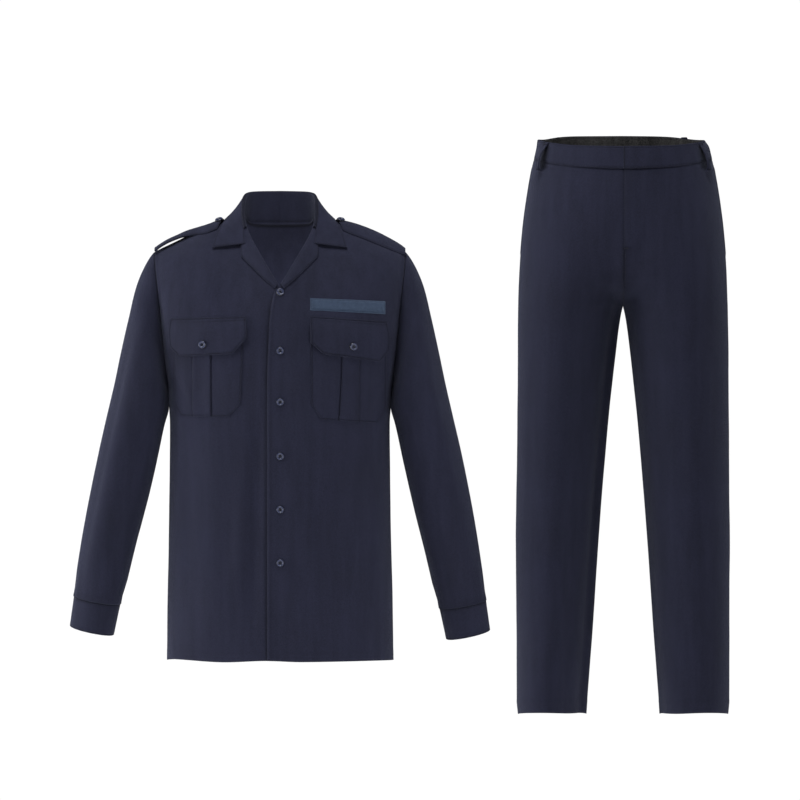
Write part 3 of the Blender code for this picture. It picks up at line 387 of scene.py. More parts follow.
def leg_ring(front, z, share):
    """Point of one leg's half, share 0 at the inner seam and 1 at the side seam."""
    z = np.asarray(z, dtype=float)
    out = smooth(z, TROUSERS[:, 0], TROUSERS[:, 1])
    gap = smooth(z, TROUSERS[:, 0], TROUSERS[:, 2])
    depth = smooth(z, TROUSERS[:, 0], TROUSERS[:, 3 if front else 4])
    above = z >= CROTCH_Z
    split = smooth(z, RISE[:, 0], RISE[:, 1])
    soft = np.maximum(smooth(z, RISE[:, 0], RISE[:, 2]), 1e-6)
    half = np.where(above, out / (1.0 + split), (out - gap) / 2.0)
    centre = np.where(above, split * half, (out + gap) / 2.0)
    # above the crotch the ring is cut by the centre plane
    near = np.where(above, 0.0, gap)
    x = near + (out - near) * leg_share(share)
    seen = np.where(above, x + soft * np.exp(-x / soft) * (1.0 - ease(x / out)), x)
    y = depth * np.maximum(0.0, 1.0 - (np.abs(seen - centre) / half) ** LEG_POWER) ** (1.0 / LEG_POWER)
    return x, y * (-1.0 if front else 1.0), z


def waist_at(angle, column):
    return smooth(np.abs(angle), WAIST[:, 0], WAIST[:, column])


def waist_point(angle, z, lift):
    """Point round the waist: the angle in degrees from the front, towards +X."""
    a = np.radians(angle)
    width = smooth(z, TROUSERS[:, 0], TROUSERS[:, 1])
    front = smooth(z, TROUSERS[:, 0], TROUSERS[:, 3])
    rear = smooth(z, TROUSERS[:, 0], TROUSERS[:, 4])
    depth = np.where(np.cos(a) >= 0.0, front, rear)
    power = 2.0 / LEG_POWER
    s, c = np.sin(a), np.cos(a)
    x = (width + lift) * np.sign(s) * np.abs(s) ** power
    y = -(depth + lift) * np.sign(c) * np.abs(c) ** power
    return np.stack([x, y, z + 0.0 * x], axis=-1)




# ---------------------------------------------------------------- mesh helpers

MIRROR = np.array([-1.0, 1.0, 1.0])


def smooth_rows(t, keys, values):
    """Monotone cubic through whole rows of values, at each t."""
    values = np.asarray(values, dtype=float)
    shape = values.shape[1:]
    flat = values.reshape(len(keys), -1)
    out = np.stack([smooth(t, keys, flat[:, k]) for k in range(flat.shape[1])], axis=-1)
    return out.reshape((len(t),) + shape)


def spaced(low, high, step, near_low=(), near_high=()):
    """Values from low to high about a step apart, with closer ones at given distances from the ends."""
    a = [low] + [low + d for d in near_low]
    b = [high - d for d in reversed(near_high)] + [high]
    count = max(1, int(round((b[0] - a[-1]) / step)))
    middle = np.linspace(a[-1], b[0], count + 1)
    return np.concatenate([a[:-1], middle, b[1:]])


def gap_to_path(points, path):
    """Distance of each point to a path of straight steps, and the share of the way along it."""
    step = np.diff(path, axis=0)
    length = np.linalg.norm(step, axis=1)
    along = np.concatenate([[0.0], np.cumsum(length)])
    best = np.full(len(points), 1e9)
    share = np.zeros(len(points))
    for k in range(len(step)):
        rel = points - path[k]
        t = np.clip(rel @ step[k] / max(length[k] ** 2, 1e-9), 0.0, 1.0)
        d = np.linalg.norm(rel - t[:, None] * step[k], axis=1)
        near = d < best
        best[near] = d[near]
        share[near] = ((along[k] + t * length[k]) / along[-1])[near]
    return best, share


def side_of_path(points, normals, path):
    """Which side of a path each point lies on, seen from outside: -1 to 1."""
    mid = path[len(path) // 2]
    run = unit(path[-1] - path[0])
    return np.sign(np.einsum("nk,nk->n", np.cross(normals, run[None, :]), points - mid))


def bend_line(p0, q0, p1, q1, bow, count=9):
    """A line between two places on a surface, bowed to one side."""
    t = np.linspace(0.0, 1.0, count)
    dp, dq = p1 - p0, q1 - q0
    size = math.hypot(dp, dq)
    side = bow * 4.0 * t * (1.0 - t)
    return p0 + dp * t - dq / size * side, q0 + dq * t + dp / size * side


def crease_height(points, normals, creases):
    """Height of soft ridges and troughs: each is path, width, height, lean and how sharply its ends fade."""
    height = np.zeros(len(points))
    for path, width, tall, lean, fade in creases:
        low, high = path.min(axis=0) - 3.2 * width, path.max(axis=0) + 3.2 * width
        near = np.all((points > low) & (points < high), axis=1)
        if not near.any():
            continue
        sub, nrm = points[near], normals[near]
        d, share = gap_to_path(sub, path)
        side = side_of_path(sub, nrm, path)
        w = width * (1.0 + lean * side)
        r = d / w
        ends = np.clip(np.minimum(share, 1.0 - share) / max(fade, 1e-3), 0.0, 1.0)
        ends = ends * ends * (3.0 - 2.0 * ends)
        height[near] += tall * ends * (np.exp(-r * r) - 0.28 * np.exp(-(r / 1.9) ** 2))
    return height


def unevenness(points, seed, size=1.0):
    """Very soft, broad unevenness of hanging cloth, the same wherever two pieces meet."""
    x, y, z = points[..., 0], points[..., 1], points[..., 2]
    a = seed * 1.7
    h = 0.55 * np.sin(x / 31.0 + y / 43.0 + a) * np.sin(z / 88.0 + x / 140.0 + 1.3 * a)
    h += 0.35 * np.sin(x / 17.0 - y / 21.0 + z / 61.0 + 2.1 * a) * np.sin(z / 47.0 - 0.7 * a)
    h += 0.16 * np.sin(x / 8.3 + y / 9.7 + z / 29.0 + a) * np.sin(z / 19.0 + x / 23.0)
    return size * h


def smooth_mesh_normals(points, closed=False):
    return grid_normals(points, closed)


def add_piece(name, verts, faces, uvs, material, sharp=(), smooth_faces=True):
    mesh = bpy.data.meshes.new(name)
    mesh.from_pydata((np.asarray(verts) * MM).tolist(), [], faces)
    mesh.polygons.foreach_set("use_smooth", [smooth_faces] * len(mesh.polygons))
    if uvs is not None:
        layer = mesh.uv_layers.new(name="cloth")
        layer.uv.foreach_set("vector", np.asarray(uvs, dtype=np.float32).ravel() * MM)
    if len(sharp):
        keys = set(tuple(sorted(e)) for e in sharp)
        flags = np.zeros(len(mesh.edges), dtype=bool)
        ends = np.zeros(len(mesh.edges) * 2, dtype=np.int32)
        mesh.edges.foreach_get("vertices", ends)
        ends = np.sort(ends.reshape(-1, 2), axis=1)
        for k, (a, b) in enumerate(ends):
            if (int(a), int(b)) in keys:
                flags[k] = True
        attr = mesh.attributes.new("sharp_edge", "BOOLEAN", "EDGE")
        attr.data.foreach_set("value", flags)
    mesh.materials.append(material)
    mesh.update()
    item = bpy.data.objects.new(name, mesh)
    bpy.context.scene.collection.objects.link(item)
    return item


def thick(outer, thickness, normals=None, outward=None, closed=False, round_sides="btlr", uv=None):
    """A wall of cloth from a grid of points: the grid, the same grid moved in, and rims between.

    Rims named in round_sides (bottom, top, left, right) are rolled, the others are flat seams.
    Gives vertices, faces, uv of each face corner and the edges where a rim starts."""
    outer = np.asarray(outer, dtype=float)
    rows, cols = outer.shape[:2]
    if normals is None:
        normals = grid_normals(outer, closed)
    if outward is not None:
        probe = (rows // 2, cols // 2)
        if np.dot(normals[probe], outward) < 0.0:
            normals = -normals
    t = np.broadcast_to(np.asarray(thickness, dtype=float), (rows, cols))[..., None]
    inner = outer - normals * t
    verts = [outer.reshape(-1, 3), inner.reshape(-1, 3)]
    half = rows * cols
    # which way round the faces run
    a, b, c = outer[rows // 2, cols // 2], outer[rows // 2, (cols // 2 + 1) % cols], outer[min(rows // 2 + 1, rows - 1), cols // 2]
    if rows // 2 + 1 > rows - 1:
        c = 2 * a - outer[rows // 2 - 1, cols // 2]
    forward = np.dot(np.cross(b - a, c - a), normals[rows // 2, cols // 2]) > 0.0
    if uv is None:
        du = np.linalg.norm(np.diff(outer, axis=1, append=outer[:, :1] if closed else outer[:, -1:]), axis=2)
        u = np.concatenate([np.zeros((rows, 1)), np.cumsum(du, axis=1)], axis=1)
        u = u - u[:, (cols // 2):(cols // 2) + 1]
        dv = np.linalg.norm(np.diff(outer, axis=0, prepend=outer[:1]), axis=2)
        v = np.cumsum(dv, axis=0)
        v = np.concatenate([v, v[:, :1]], axis=1)
        v = v - v[rows // 2:rows // 2 + 1, :] + 0.0
        uv = np.stack([u, v], axis=-1)
    span = cols if closed else cols - 1
    r, k = np.meshgrid(np.arange(rows - 1), np.arange(span), indexing="ij")
    k2 = (k + 1) % cols
    quad = np.stack([r * cols + k, r * cols + k2, (r + 1) * cols + k2, (r + 1) * cols + k], axis=-1).reshape(-1, 4)
    corner = np.stack([uv[r, k], uv[r, k + 1], uv[r + 1, k + 1], uv[r + 1, k]], axis=-2).reshape(-1, 4, 2)
    if not forward:
        quad, corner = quad[:, ::-1], corner[:, ::-1]
    faces = [quad, (quad + half)[:, ::-1]]
    corners = [corner, corner[:, ::-1]]
    sharp = []
    count = 2 * half

    def rim(index, spot_uv, away, rolled, loop):
        """Rim along a run of boundary points."""
        nonlocal count
        index = np.asarray(index)
        o = outer.reshape(-1, 3)[index]
        n = normals.reshape(-1, 3)[index]
        th = t.reshape(-1, 1)[index]
        rings = [index]
        for angle in (60.0, 120.0):
            q = math.radians(angle)
            verts.append(o - n * th * (0.5 - 0.5 * math.cos(q)) + away * th * (0.5 * math.sin(q)) * rolled[:, None])
            rings.append(count + np.arange(len(index)))
            count += len(index)
        rings.append(index + half)
        m = len(index)
        runs = m if loop else m - 1
        i = np.arange(runs)
        j = (i + 1) % m
        for lo, hi in zip(rings[:-1], rings[1:]):
            f = np.stack([lo[j], lo[i], hi[i], hi[j]], axis=-1)
            w = np.stack([spot_uv[j], spot_uv[i], spot_uv[i], spot_uv[j]], axis=-2)
            if not forward:
                f, w = f[:, ::-1], w[:, ::-1]
            faces.append(f)
            corners.append(w)
        for ring in (rings[0], rings[-1]):
            sharp.extend(zip(ring[i].tolist(), ring[j].tolist()))

    grid = np.arange(half).reshape(rows, cols)
    d_row = np.gradient(outer, axis=0)
    if closed:
        for row, sign, key in ((0, -1.0, "b"), (rows - 1, 1.0, "t")):
            ids = grid[row] if row == 0 else grid[row][::-1]
            away = unit(sign * d_row[row])
            away = away if row == 0 else away[::-1]
            w = uv[row, :cols] if row == 0 else uv[row, :cols][::-1]
            rim(ids, w, away, np.full(cols, 1.0 if key in round_sides else 0.0), True)
    else:
        d_col = np.gradient(outer, axis=1)
        ids, away, rolled, spots = [], [], [], []
        runs = [("b", [(0, c) for c in range(cols)], -d_row), ("r", [(q, cols - 1) for q in range(rows)], d_col),
                ("t", [(rows - 1, c) for c in range(cols - 1, -1, -1)], d_row), ("l", [(q, 0) for q in range(rows - 1, -1, -1)], -d_col)]
        for key, cells, field in runs:
            rr = np.array([q[0] for q in cells[:-1]])
            cc = np.array([q[1] for q in cells[:-1]])
            ids.append(grid[rr, cc])
            away.append(unit(field[rr, cc]))
            rolled.append(np.full(len(rr), 1.0 if key in round_sides else 0.0))
            spots.append(uv[rr, cc])
        rim(np.concatenate(ids), np.concatenate(spots), np.concatenate(away), np.concatenate(rolled), True)
    faces = np.concatenate(faces)
    corners = np.concatenate(corners)
    return np.concatenate(verts), faces, corners, sharp


def cloth_piece(name, grids, material, tones=None, rim_shade=0.35):
    """One object from one or more walls of cloth; tones give the painted shade at each place: darker in seam grooves,
    folds and under overlapping parts.
    """
    verts, faces, corners, sharp = [], [], [], []
    depth = []
    at = 0
    for k, (v, f, w, s) in enumerate(grids):
        # painted shade: with tones given, rims get a fixed darkening, the outer face the tones and the inner face half
        # of them
        one = np.full(len(v), rim_shade)
        if tones is None:
            one[:] = 0.0
        else:
            flat = np.asarray(tones[k], dtype=float).ravel()
            one[:len(flat)] = np.clip(flat, 0.0, 1.25)
            one[len(flat):2 * len(flat)] = np.clip(flat * 0.5, 0.0, 1.25)
        depth.append(one)
        verts.append(v)
        faces.append(f + at)
        corners.append(w)
        sharp += [(a + at, b + at) for a, b in s]
        at += len(v)
    item = add_piece(name, np.concatenate(verts), np.concatenate(faces).tolist(), np.concatenate(corners).reshape(-1, 2),
                     material, sharp)
    # the seam attribute carries this painted shade into the cloth's colour
    item.data.attributes.new("seam", "FLOAT", "POINT").data.foreach_set("value", np.concatenate(depth))
    return item


def beside(d, wide):
    return np.exp(-(d / wide) ** 2)


def flip_grid(grid):
    """The mirror image, for the wearer's right side."""
    v, f, w, s = grid
    return v * MIRROR, f[:, ::-1], w[:, ::-1], s


def resample(path, normals, pitch):
    step = np.linalg.norm(np.diff(path, axis=0), axis=1)
    along = np.concatenate([[0.0], np.cumsum(step)])
    count = max(2, int(along[-1] / pitch))
    at = (np.arange(count) + 0.5) * along[-1] / count
    place = np.stack([np.interp(at, along, path[:, k]) for k in range(3)], axis=-1)
    n = unit(np.stack([np.interp(at, along, normals[:, k]) for k in range(3)], axis=-1))
    run = np.stack([np.interp(at + 0.4, along, path[:, k]) - np.interp(at - 0.4, along, path[:, k]) for k in range(3)], axis=-1)
    return place, n, unit(run)


STITCHES = {}


def stitch_row(group, path, normals, pitch=2.9, length=2.3, radius=0.26, lift=0.08):
    """A row of thread stitches lying on the cloth."""
    place, n, run = resample(np.asarray(path, dtype=float), np.asarray(normals, dtype=float), pitch)
    side = unit(np.cross(n, run))
    rings = []
    for along, size in ((-0.5, 0.0), (-0.3, 0.9), (0.0, 1.15), (0.3, 0.9), (0.5, 0.0)):
        centre = place + run * (along * length) + n * (lift + radius * (0.55 * size - 0.45))
        if size == 0.0:
            rings.append(centre[:, None, :])
        else:
            ring = [centre + (side * math.cos(a) + n * math.sin(a)) * radius * size
                    for a in (0.0, math.pi / 2.0, math.pi, 1.5 * math.pi)]
            rings.append(np.stack(ring, axis=1))
    verts = np.concatenate(rings, axis=1)
    m = len(place)
    one = []
    for k in range(4):
        j = (k + 1) % 4
        one.append((0, 1 + j, 1 + k))
        one.append((1 + k, 1 + j, 5 + j))
        one.append((1 + k, 5 + j, 5 + k))
        one.append((5 + k, 5 + j, 9 + j))
        one.append((5 + k, 9 + j, 9 + k))
        one.append((13, 9 + k, 9 + j))
    one = np.array(one)
    faces = (one[None] + (np.arange(m) * 14)[:, None, None]).reshape(-1, 3)
    STITCHES.setdefault(group, []).append((verts.reshape(-1, 3), faces))


def stitch_piece(name, group, material):
    verts, faces, at = [], [], 0
    for v, f in STITCHES[group]:
        verts.append(v)
        faces.append(f + at)
        at += len(v)
    faces = np.concatenate(faces)
    verts = np.concatenate(verts)
    # turn every face outward from its own stitch
    middle = verts.reshape(-1, 14, 3).mean(axis=1)[faces[:, 0] // 14]
    a, b, c = verts[faces[:, 0]], verts[faces[:, 1]], verts[faces[:, 2]]
    wrong = np.einsum("nk,nk->n", np.cross(b - a, c - a), (a + b + c) / 3.0 - middle) < 0.0
    faces[wrong] = faces[wrong][:, ::-1]
    return add_piece(name, verts, faces.tolist(), None, material)


def stitched_edge(d, at, deep=0.35, wide=0.9, swell=0.25):
    """Height of doubled cloth near a finished edge: pressed down along the stitching at a distance from it."""
    h = -1.5 * deep * np.exp(-((d - at) / (0.85 * wide)) ** 2)
    h += 1.5 * swell * np.exp(-((d - at * 0.45) / (at * 0.4)) ** 2)
    h += swell * 0.9 * np.exp(-((d - at - 2.6) / 2.2) ** 2)
    h -= 0.4 * np.exp(-(d / 0.7) ** 2)
    return h


def painted_edge_shade(d, at=2.2):
    """Darker as painted shade in the pressed row of a finished edge and at the very edge."""
    return 0.55 * beside(d - at, 0.75) + 0.5 * beside(d, 0.6)


def polygon_gap(px, pz, outline, skip=()):
    """Distance of each place to a closed outline, leaving out some of its sides."""
    best = np.full(px.shape, 1e9)
    n = len(outline)
    for k in range(n):
        if k in skip:
            continue
        a, b = np.array(outline[k]), np.array(outline[(k + 1) % n])
        d = b - a
        t = np.clip(((px - a[0]) * d[0] + (pz - a[1]) * d[1]) / (d @ d), 0.0, 1.0)
        best = np.minimum(best, np.hypot(px - a[0] - t * d[0], pz - a[1] - t * d[1]))
    return best


# ---------------------------------------------------------------- cloth material

def new_material(name):
    mat = bpy.data.materials.new(name)
    mat.use_nodes = True
    tree = mat.node_tree
    tree.nodes.clear()
    return mat, tree


class Net:
    """Small helper for wiring shader nodes."""

    def __init__(self, tree):
        self.tree = tree

    def node(self, kind, inputs=None, **props):
        n = self.tree.nodes.new(kind)
        for key, value in props.items():
            setattr(n, key, value)
        for key, value in (inputs or {}).items():
            self.feed(n, key, value)
        return n

    def feed(self, n, key, value):
        if hasattr(value, "links") and hasattr(value, "node"):
            self.tree.links.new(value, n.inputs[key])
        else:
            n.inputs[key].default_value = value

    def math(self, op, a, b=None, c=None, clamp=False):
        n = self.node("ShaderNodeMath", operation=op, use_clamp=clamp)
        for k, value in enumerate((a, b, c)):
            if value is not None:
                self.feed(n, k, value)
        return n.outputs[0]

    def mix(self, factor, a, b):
        n = self.node("ShaderNodeMix", data_type="RGBA")
        self.feed(n, 0, factor)
        self.feed(n, 6, a)
        self.feed(n, 7, b)
        return n.outputs[2]

    def noise(self, vector, scale, detail=2.0, rough=0.5):
        n = self.node("ShaderNodeTexNoise", {"Vector": vector, "Scale": scale, "Detail": detail, "Roughness": rough})
        return n.outputs[0]

    def span(self, value, low, high, to_low, to_high):
        n = self.node("ShaderNodeMapRange", {"Value": value, "From Min": low, "From Max": high, "To Min": to_low,
                                             "To Max": to_high})
        return n.outputs[0]


def cloth_material(name, dark, light, roughness=0.82, sheen=0.16, weave=0.00062, depth=0.00012, use_map=True,
                   tint=(0.6, 0.65, 0.9, 1.0), twill=1.0):
    """Twill: fine diagonal ribs, crossed by the finer weft, with soft mottling."""
    mat, tree = new_material(name)
    net = Net(tree)
    out = net.node("ShaderNodeOutputMaterial")
    shader = net.node("ShaderNodeBsdfPrincipled")
    tree.links.new(shader.outputs[0], out.inputs[0])
    shader.inputs["Sheen Weight"].default_value = sheen
    shader.inputs["Sheen Roughness"].default_value = 0.45
    shader.inputs["Sheen Tint"].default_value = tint
    shader.inputs["Specular IOR Level"].default_value = 0.18
    place = net.node("ShaderNodeTexCoord").outputs["Object"]
    if use_map:
        spot = net.node("ShaderNodeUVMap", uv_map="cloth").outputs[0]
    else:
        spot = place
    part = net.node("ShaderNodeSeparateXYZ", {0: spot})
    u, v = part.outputs[0], part.outputs[1] if use_map else part.outputs[2]
    turn = 2.0 * math.pi / weave
    # threads wander a little
    drift = net.math("MULTIPLY", net.math("SUBTRACT", net.noise(place, 60.0, 2.0), 0.5), weave * 1.6)
    across = net.math("ADD", net.math("ADD", net.math("MULTIPLY", u, 0.78), net.math("MULTIPLY", v, 0.62 * twill)), drift)
    rib = net.math("SINE", net.math("MULTIPLY", across, turn))
    weft = net.math("SINE", net.math("MULTIPLY", net.math("SUBTRACT", v, net.math("MULTIPLY", u, 0.12)), turn * 1.9))
    warp = net.math("SINE", net.math("MULTIPLY", u, turn * 1.9))
    threads = net.math("MULTIPLY_ADD", net.math("MULTIPLY", weft, warp), 0.30, net.math("MULTIPLY", rib, 0.55))
    slub = net.noise(place, 420.0, 3.0, 0.6)
    height = net.math("MULTIPLY_ADD", slub, 0.9, threads)
    bump = net.node("ShaderNodeBump", {"Strength": 0.85, "Distance": depth, "Height": height})
    # broad unevenness of the pressed cloth
    hand = net.noise(place, 34.0, 3.0, 0.55)
    bump2 = net.node("ShaderNodeBump", {"Strength": 0.5, "Distance": 0.0007, "Height": hand, "Normal": bump.outputs[0]})
    tree.links.new(bump2.outputs[0], shader.inputs["Normal"])
    mottle = net.span(net.noise(place, 9.0, 4.0, 0.6), 0.3, 0.7, 0.0, 1.0)
    fleck = net.span(net.noise(place, 900.0, 2.0, 0.6), 0.35, 0.65, 0.0, 1.0)
    shade = net.math("ADD", net.math("MULTIPLY", mottle, 0.45), net.math("MULTIPLY", fleck, 0.25))
    # long faint streaks along the cloth, and thick and thin threads
    run = net.node("ShaderNodeMapping", {0: place})
    run.inputs["Scale"].default_value = (1.0, 1.0, 0.11)
    streak = net.span(net.noise(run.outputs[0], 62.0, 3.0, 0.6), 0.3, 0.7, -0.26, 0.26)
    shade = net.math("ADD", shade, net.math("ADD", streak, net.span(slub, 0.3, 0.7, -0.34, 0.34)))
    shade = net.math("MULTIPLY_ADD", rib, 0.16, net.math("ADD", shade, 0.15), clamp=True)
    colour = net.mix(shade, (*dark, 1.0), (*light, 1.0))
    # painted shade: the seam attribute darkens the colour in seam grooves, folds, edges and under overlapping parts
    seam = net.node("ShaderNodeAttribute", attribute_name="seam").outputs["Fac"]
    colour = net.mix(net.math("MULTIPLY", seam, 0.8, clamp=True), colour, (*[0.3 * c for c in dark], 1.0))
    tree.links.new(colour, shader.inputs["Base Color"])
    tree.links.new(net.span(mottle, 0.0, 1.0, roughness - 0.05, roughness + 0.05), shader.inputs["Roughness"])
    return mat


# ---------------------------------------------------------------- creases

def on_back(x, z):
    x = np.asarray(x, dtype=float)
    z = np.asarray(z, dtype=float)
    return np.stack([x, body_y(False, np.abs(x), z), z], axis=-1)


def front_line(side, x0, z0, x1, z1, bow=0.0):
    """Path on the front: side +1 for the wearer's left, -1 for the right; x is taken on the +X side."""
    x, z = bend_line(x0, z0, x1, z1, bow)
    p, _ = on_front(np.maximum(x, -20.0), z, np.zeros(len(x)), False)
    return p * np.array([side, 1.0, 1.0])


def back_line(x0, z0, x1, z1, bow=0.0):
    x, z = bend_line(x0, z0, x1, z1, bow)
    return on_back(x, z)


def sleeve_line(side, k0, a0, k1, a1, bow=0.0):
    """Path on a sleeve: ring number and angle in degrees, 0 outside, 90 in front, 180 inside, 270 behind."""
    k, a = bend_line(k0, a0, k1, a1, bow)
    rows = smooth_rows(k, np.arange(len(SLEEVE)), SLEEVE)
    p = np.stack([sleeve_ring(r, np.array([math.radians(q)]))[0] for r, q in zip(rows, a)])
    return p * np.array([side, 1.0, 1.0])


def leg_line(front, side, x0, z0, x1, z1, bow=0.0):
    """Path on a trouser leg, x measured from the trousers' centre line on the +X side."""
    x, z = bend_line(x0, z0, x1, z1, bow)
    shares = np.linspace(0.0, 1.0, 80)
    points = []
    for px, pz in zip(x, z):
        lx, ly, _ = leg_ring(front, pz, shares)
        points.append((px, float(np.interp(px, lx, ly)), pz))
    return np.array(points) * np.array([side, 1.0, 1.0])


def crease(path, width, tall, lean=0.0, fade=0.35):
    return (path, width, tall, lean, fade)


def shirt_creases():
    c = []
    # front, wearer's right side (seen on the left)
    R, L = -1.0, 1.0
    # soft drags from the underarms
    c.append(crease(front_line(R, 192, -250, 150, -330, -9), 8.0, 1.5, 0.25))
    c.append(crease(front_line(R, 196, -305, 158, -395, -8), 10.0, 1.3, -0.2))
    c.append(crease(front_line(R, 190, -190, 196, -300, 4), 6.0, -1.2, 0.2))
    c.append(crease(front_line(L, 192, -262, 146, -352, -9), 8.5, 1.5, 0.2))
    c.append(crease(front_line(L, 196, -322, 160, -408, -7), 9.0, 1.2, -0.2))
    c.append(crease(front_line(L, 189, -185, 197, -292, 5), 6.0, -1.2, 0.2))
    # shallow folds where the front hangs from the chest
    c.append(crease(front_line(R, 104, -300, 112, -780, 6), 34.0, 4.2, 0.1, 0.28))
    c.append(crease(front_line(R, 166, -372, 164, -700, -5), 14.0, -1.4, 0.2, 0.4))
    c.append(crease(front_line(R, 30, -270, 46, -770, 5), 13.0, -5.2, -0.15, 0.32))
    c.append(crease(front_line(R, 66, -380, 80, -700, -4), 15.0, 2.6, 0.2, 0.42))
    c.append(crease(front_line(R, 128, -60, 118, -162, 4), 24.0, 2.2, 0.1, 0.4))
    c.append(crease(front_line(L, 30, -150, 24, -420, 3), 11.0, 1.1, 0.1, 0.4))
    c.append(crease(front_line(L, 96, -368, 104, -650, -5), 20.0, 1.4, 0.15, 0.45))
    c.append(crease(front_line(L, 60, -430, 56, -720, 5), 17.0, -1.2, 0.15, 0.45))
    c.append(crease(front_line(L, 160, -380, 166, -690, 5), 13.0, 1.3, 0.15, 0.4))
    c.append(crease(front_line(L, 184, -430, 186, -620, 3), 9.0, -1.0, 0.1, 0.4))
    # across the upper chest, from the shoulder towards the pocket
    c.append(crease(front_line(R, 182, -70, 150, -150, 6), 9.0, 0.9, 0.15, 0.45))
    c.append(crease(front_line(L, 186, -62, 152, -128, 6), 9.0, 0.9, 0.15, 0.45))
    c.append(crease(front_line(R, 72, -96, 58, -160, -4), 10.0, -0.8, 0.15, 0.45))
    c.append(crease(front_line(L, 66, -80, 58, -126, -4), 9.0, -0.7, 0.15, 0.45))
    # small pulls beside the button stand
    for z, side, tall in ((-224, R, 0.7), (-313, R, 0.6), (-408, R, 0.8), (-500, R, 0.6), (-593, R, 0.7),
                          (-260, L, 0.5), (-450, L, 0.6), (-548, L, 0.5)):
        c.append(crease(front_line(side, 8, z, 46, z - 14, 3), 4.5, tall, 0.2, 0.5))
    # back: from the shoulder blades and the underarms, and a soft hang below
    c.append(crease(back_line(-60, -95, -130, -150, -8), 12.0, 1.1, 0.2, 0.45))
    c.append(crease(back_line(66, -100, 126, -160, 8), 12.0, 1.2, -0.2, 0.45))
    c.append(crease(back_line(-190, -255, -120, -345, 10), 9.0, 1.6, 0.25))
    c.append(crease(back_line(190, -265, 126, -350, -10), 9.0, 1.5, -0.25))
    c.append(crease(back_line(-196, -310, -140, -420, 8), 11.0, 1.3, 0.2))
    c.append(crease(back_line(196, -325, 148, -425, -8), 11.0, 1.3, -0.2))
    c.append(crease(back_line(-96, -330, -104, -690, 8), 19.0, 1.8, 0.2, 0.45))
    c.append(crease(back_line(22, -300, 14, -700, -7), 20.0, -1.5, 0.1, 0.45))
    c.append(crease(back_line(104, -360, 112, -720, -7), 18.0, 1.7, -0.15, 0.45))
    c.append(crease(back_line(-150, -420, -156, -700, 4), 12.0, -1.3, 0.2, 0.45))
    c.append(crease(back_line(156, -440, 152, -690, -4), 12.0, -1.2, -0.2, 0.45))
    c.append(crease(back_line(-20, -40, -34, -210, -6), 14.0, -1.0, 0.1, 0.5))
    for side in (R, L):
        s = 0.0 if side == R else 4.0
        # gathered cloth at the armpit and folds round the elbow
        c.append(crease(sleeve_line(side, 2.0, 128, 5.2, 108 + s, 4), 7.0, -1.5, 0.25))
        c.append(crease(sleeve_line(side, 1.6, 148, 5.4, 150 - s, -4), 6.0, 1.4, 0.2))
        c.append(crease(sleeve_line(side, 2.2, 228, 5.6, 246 - s, -5), 7.5, -1.5, 0.25))
        c.append(crease(sleeve_line(side, 1.4, 205, 4.6, 212 + s, 4), 6.0, 1.4, 0.2))
        c.append(crease(sleeve_line(side, 6.3 + s / 20, 172, 6.9, 104, 4), 9.0, -1.3, 0.25, 0.4))
        c.append(crease(sleeve_line(side, 7.2 + s / 20, 184, 7.5, 118, -5), 8.0, 1.2, -0.2, 0.4))
        c.append(crease(sleeve_line(side, 7.9, 176, 8.4, 112 + s, 5), 9.0, -1.1, 0.2, 0.4))
        c.append(crease(sleeve_line(side, 6.5, 196, 7.2, 262 - s, -5), 10.0, 1.5, 0.2, 0.4))
        c.append(crease(sleeve_line(side, 7.6, 200, 8.1, 270 - s, 6), 9.0, -1.3, -0.2, 0.4))
        c.append(crease(sleeve_line(side, 1.6, 60 + s, 11.2, 55, 4), 15.0, 5.4 if side == R else 2.2, 0.12, 0.2))
        c.append(crease(sleeve_line(side, 3.0, 112 + s, 10.8, 108, -4), 17.0, -3.6 if side == R else -1.8, 0.12, 0.25))
        c.append(crease(sleeve_line(side, 3.4, 300, 8.8, 306 - s, -4), 14.0, 1.2, 0.15, 0.45))
        c.append(crease(sleeve_line(side, 8.6, 82, 10.9, 92 - s, 4), 9.0, -0.9, 0.2, 0.45))
        c.append(crease(sleeve_line(side, 9.4, 28 + s, 11.0, 40, -4), 7.0, 0.8, 0.15, 0.45))
        # ease gathered into the cuff
        for k, a in enumerate((28, 64, 98, 140, 200, 262, 300, 338)):
            c.append(crease(sleeve_line(side, 10.1 + 0.12 * (k % 3), a + s, 11.0, a + 3, 0), 5.0,
                            (0.9, -0.8, 0.7, -0.9)[k % 4], 0.1, 0.6))
    return c


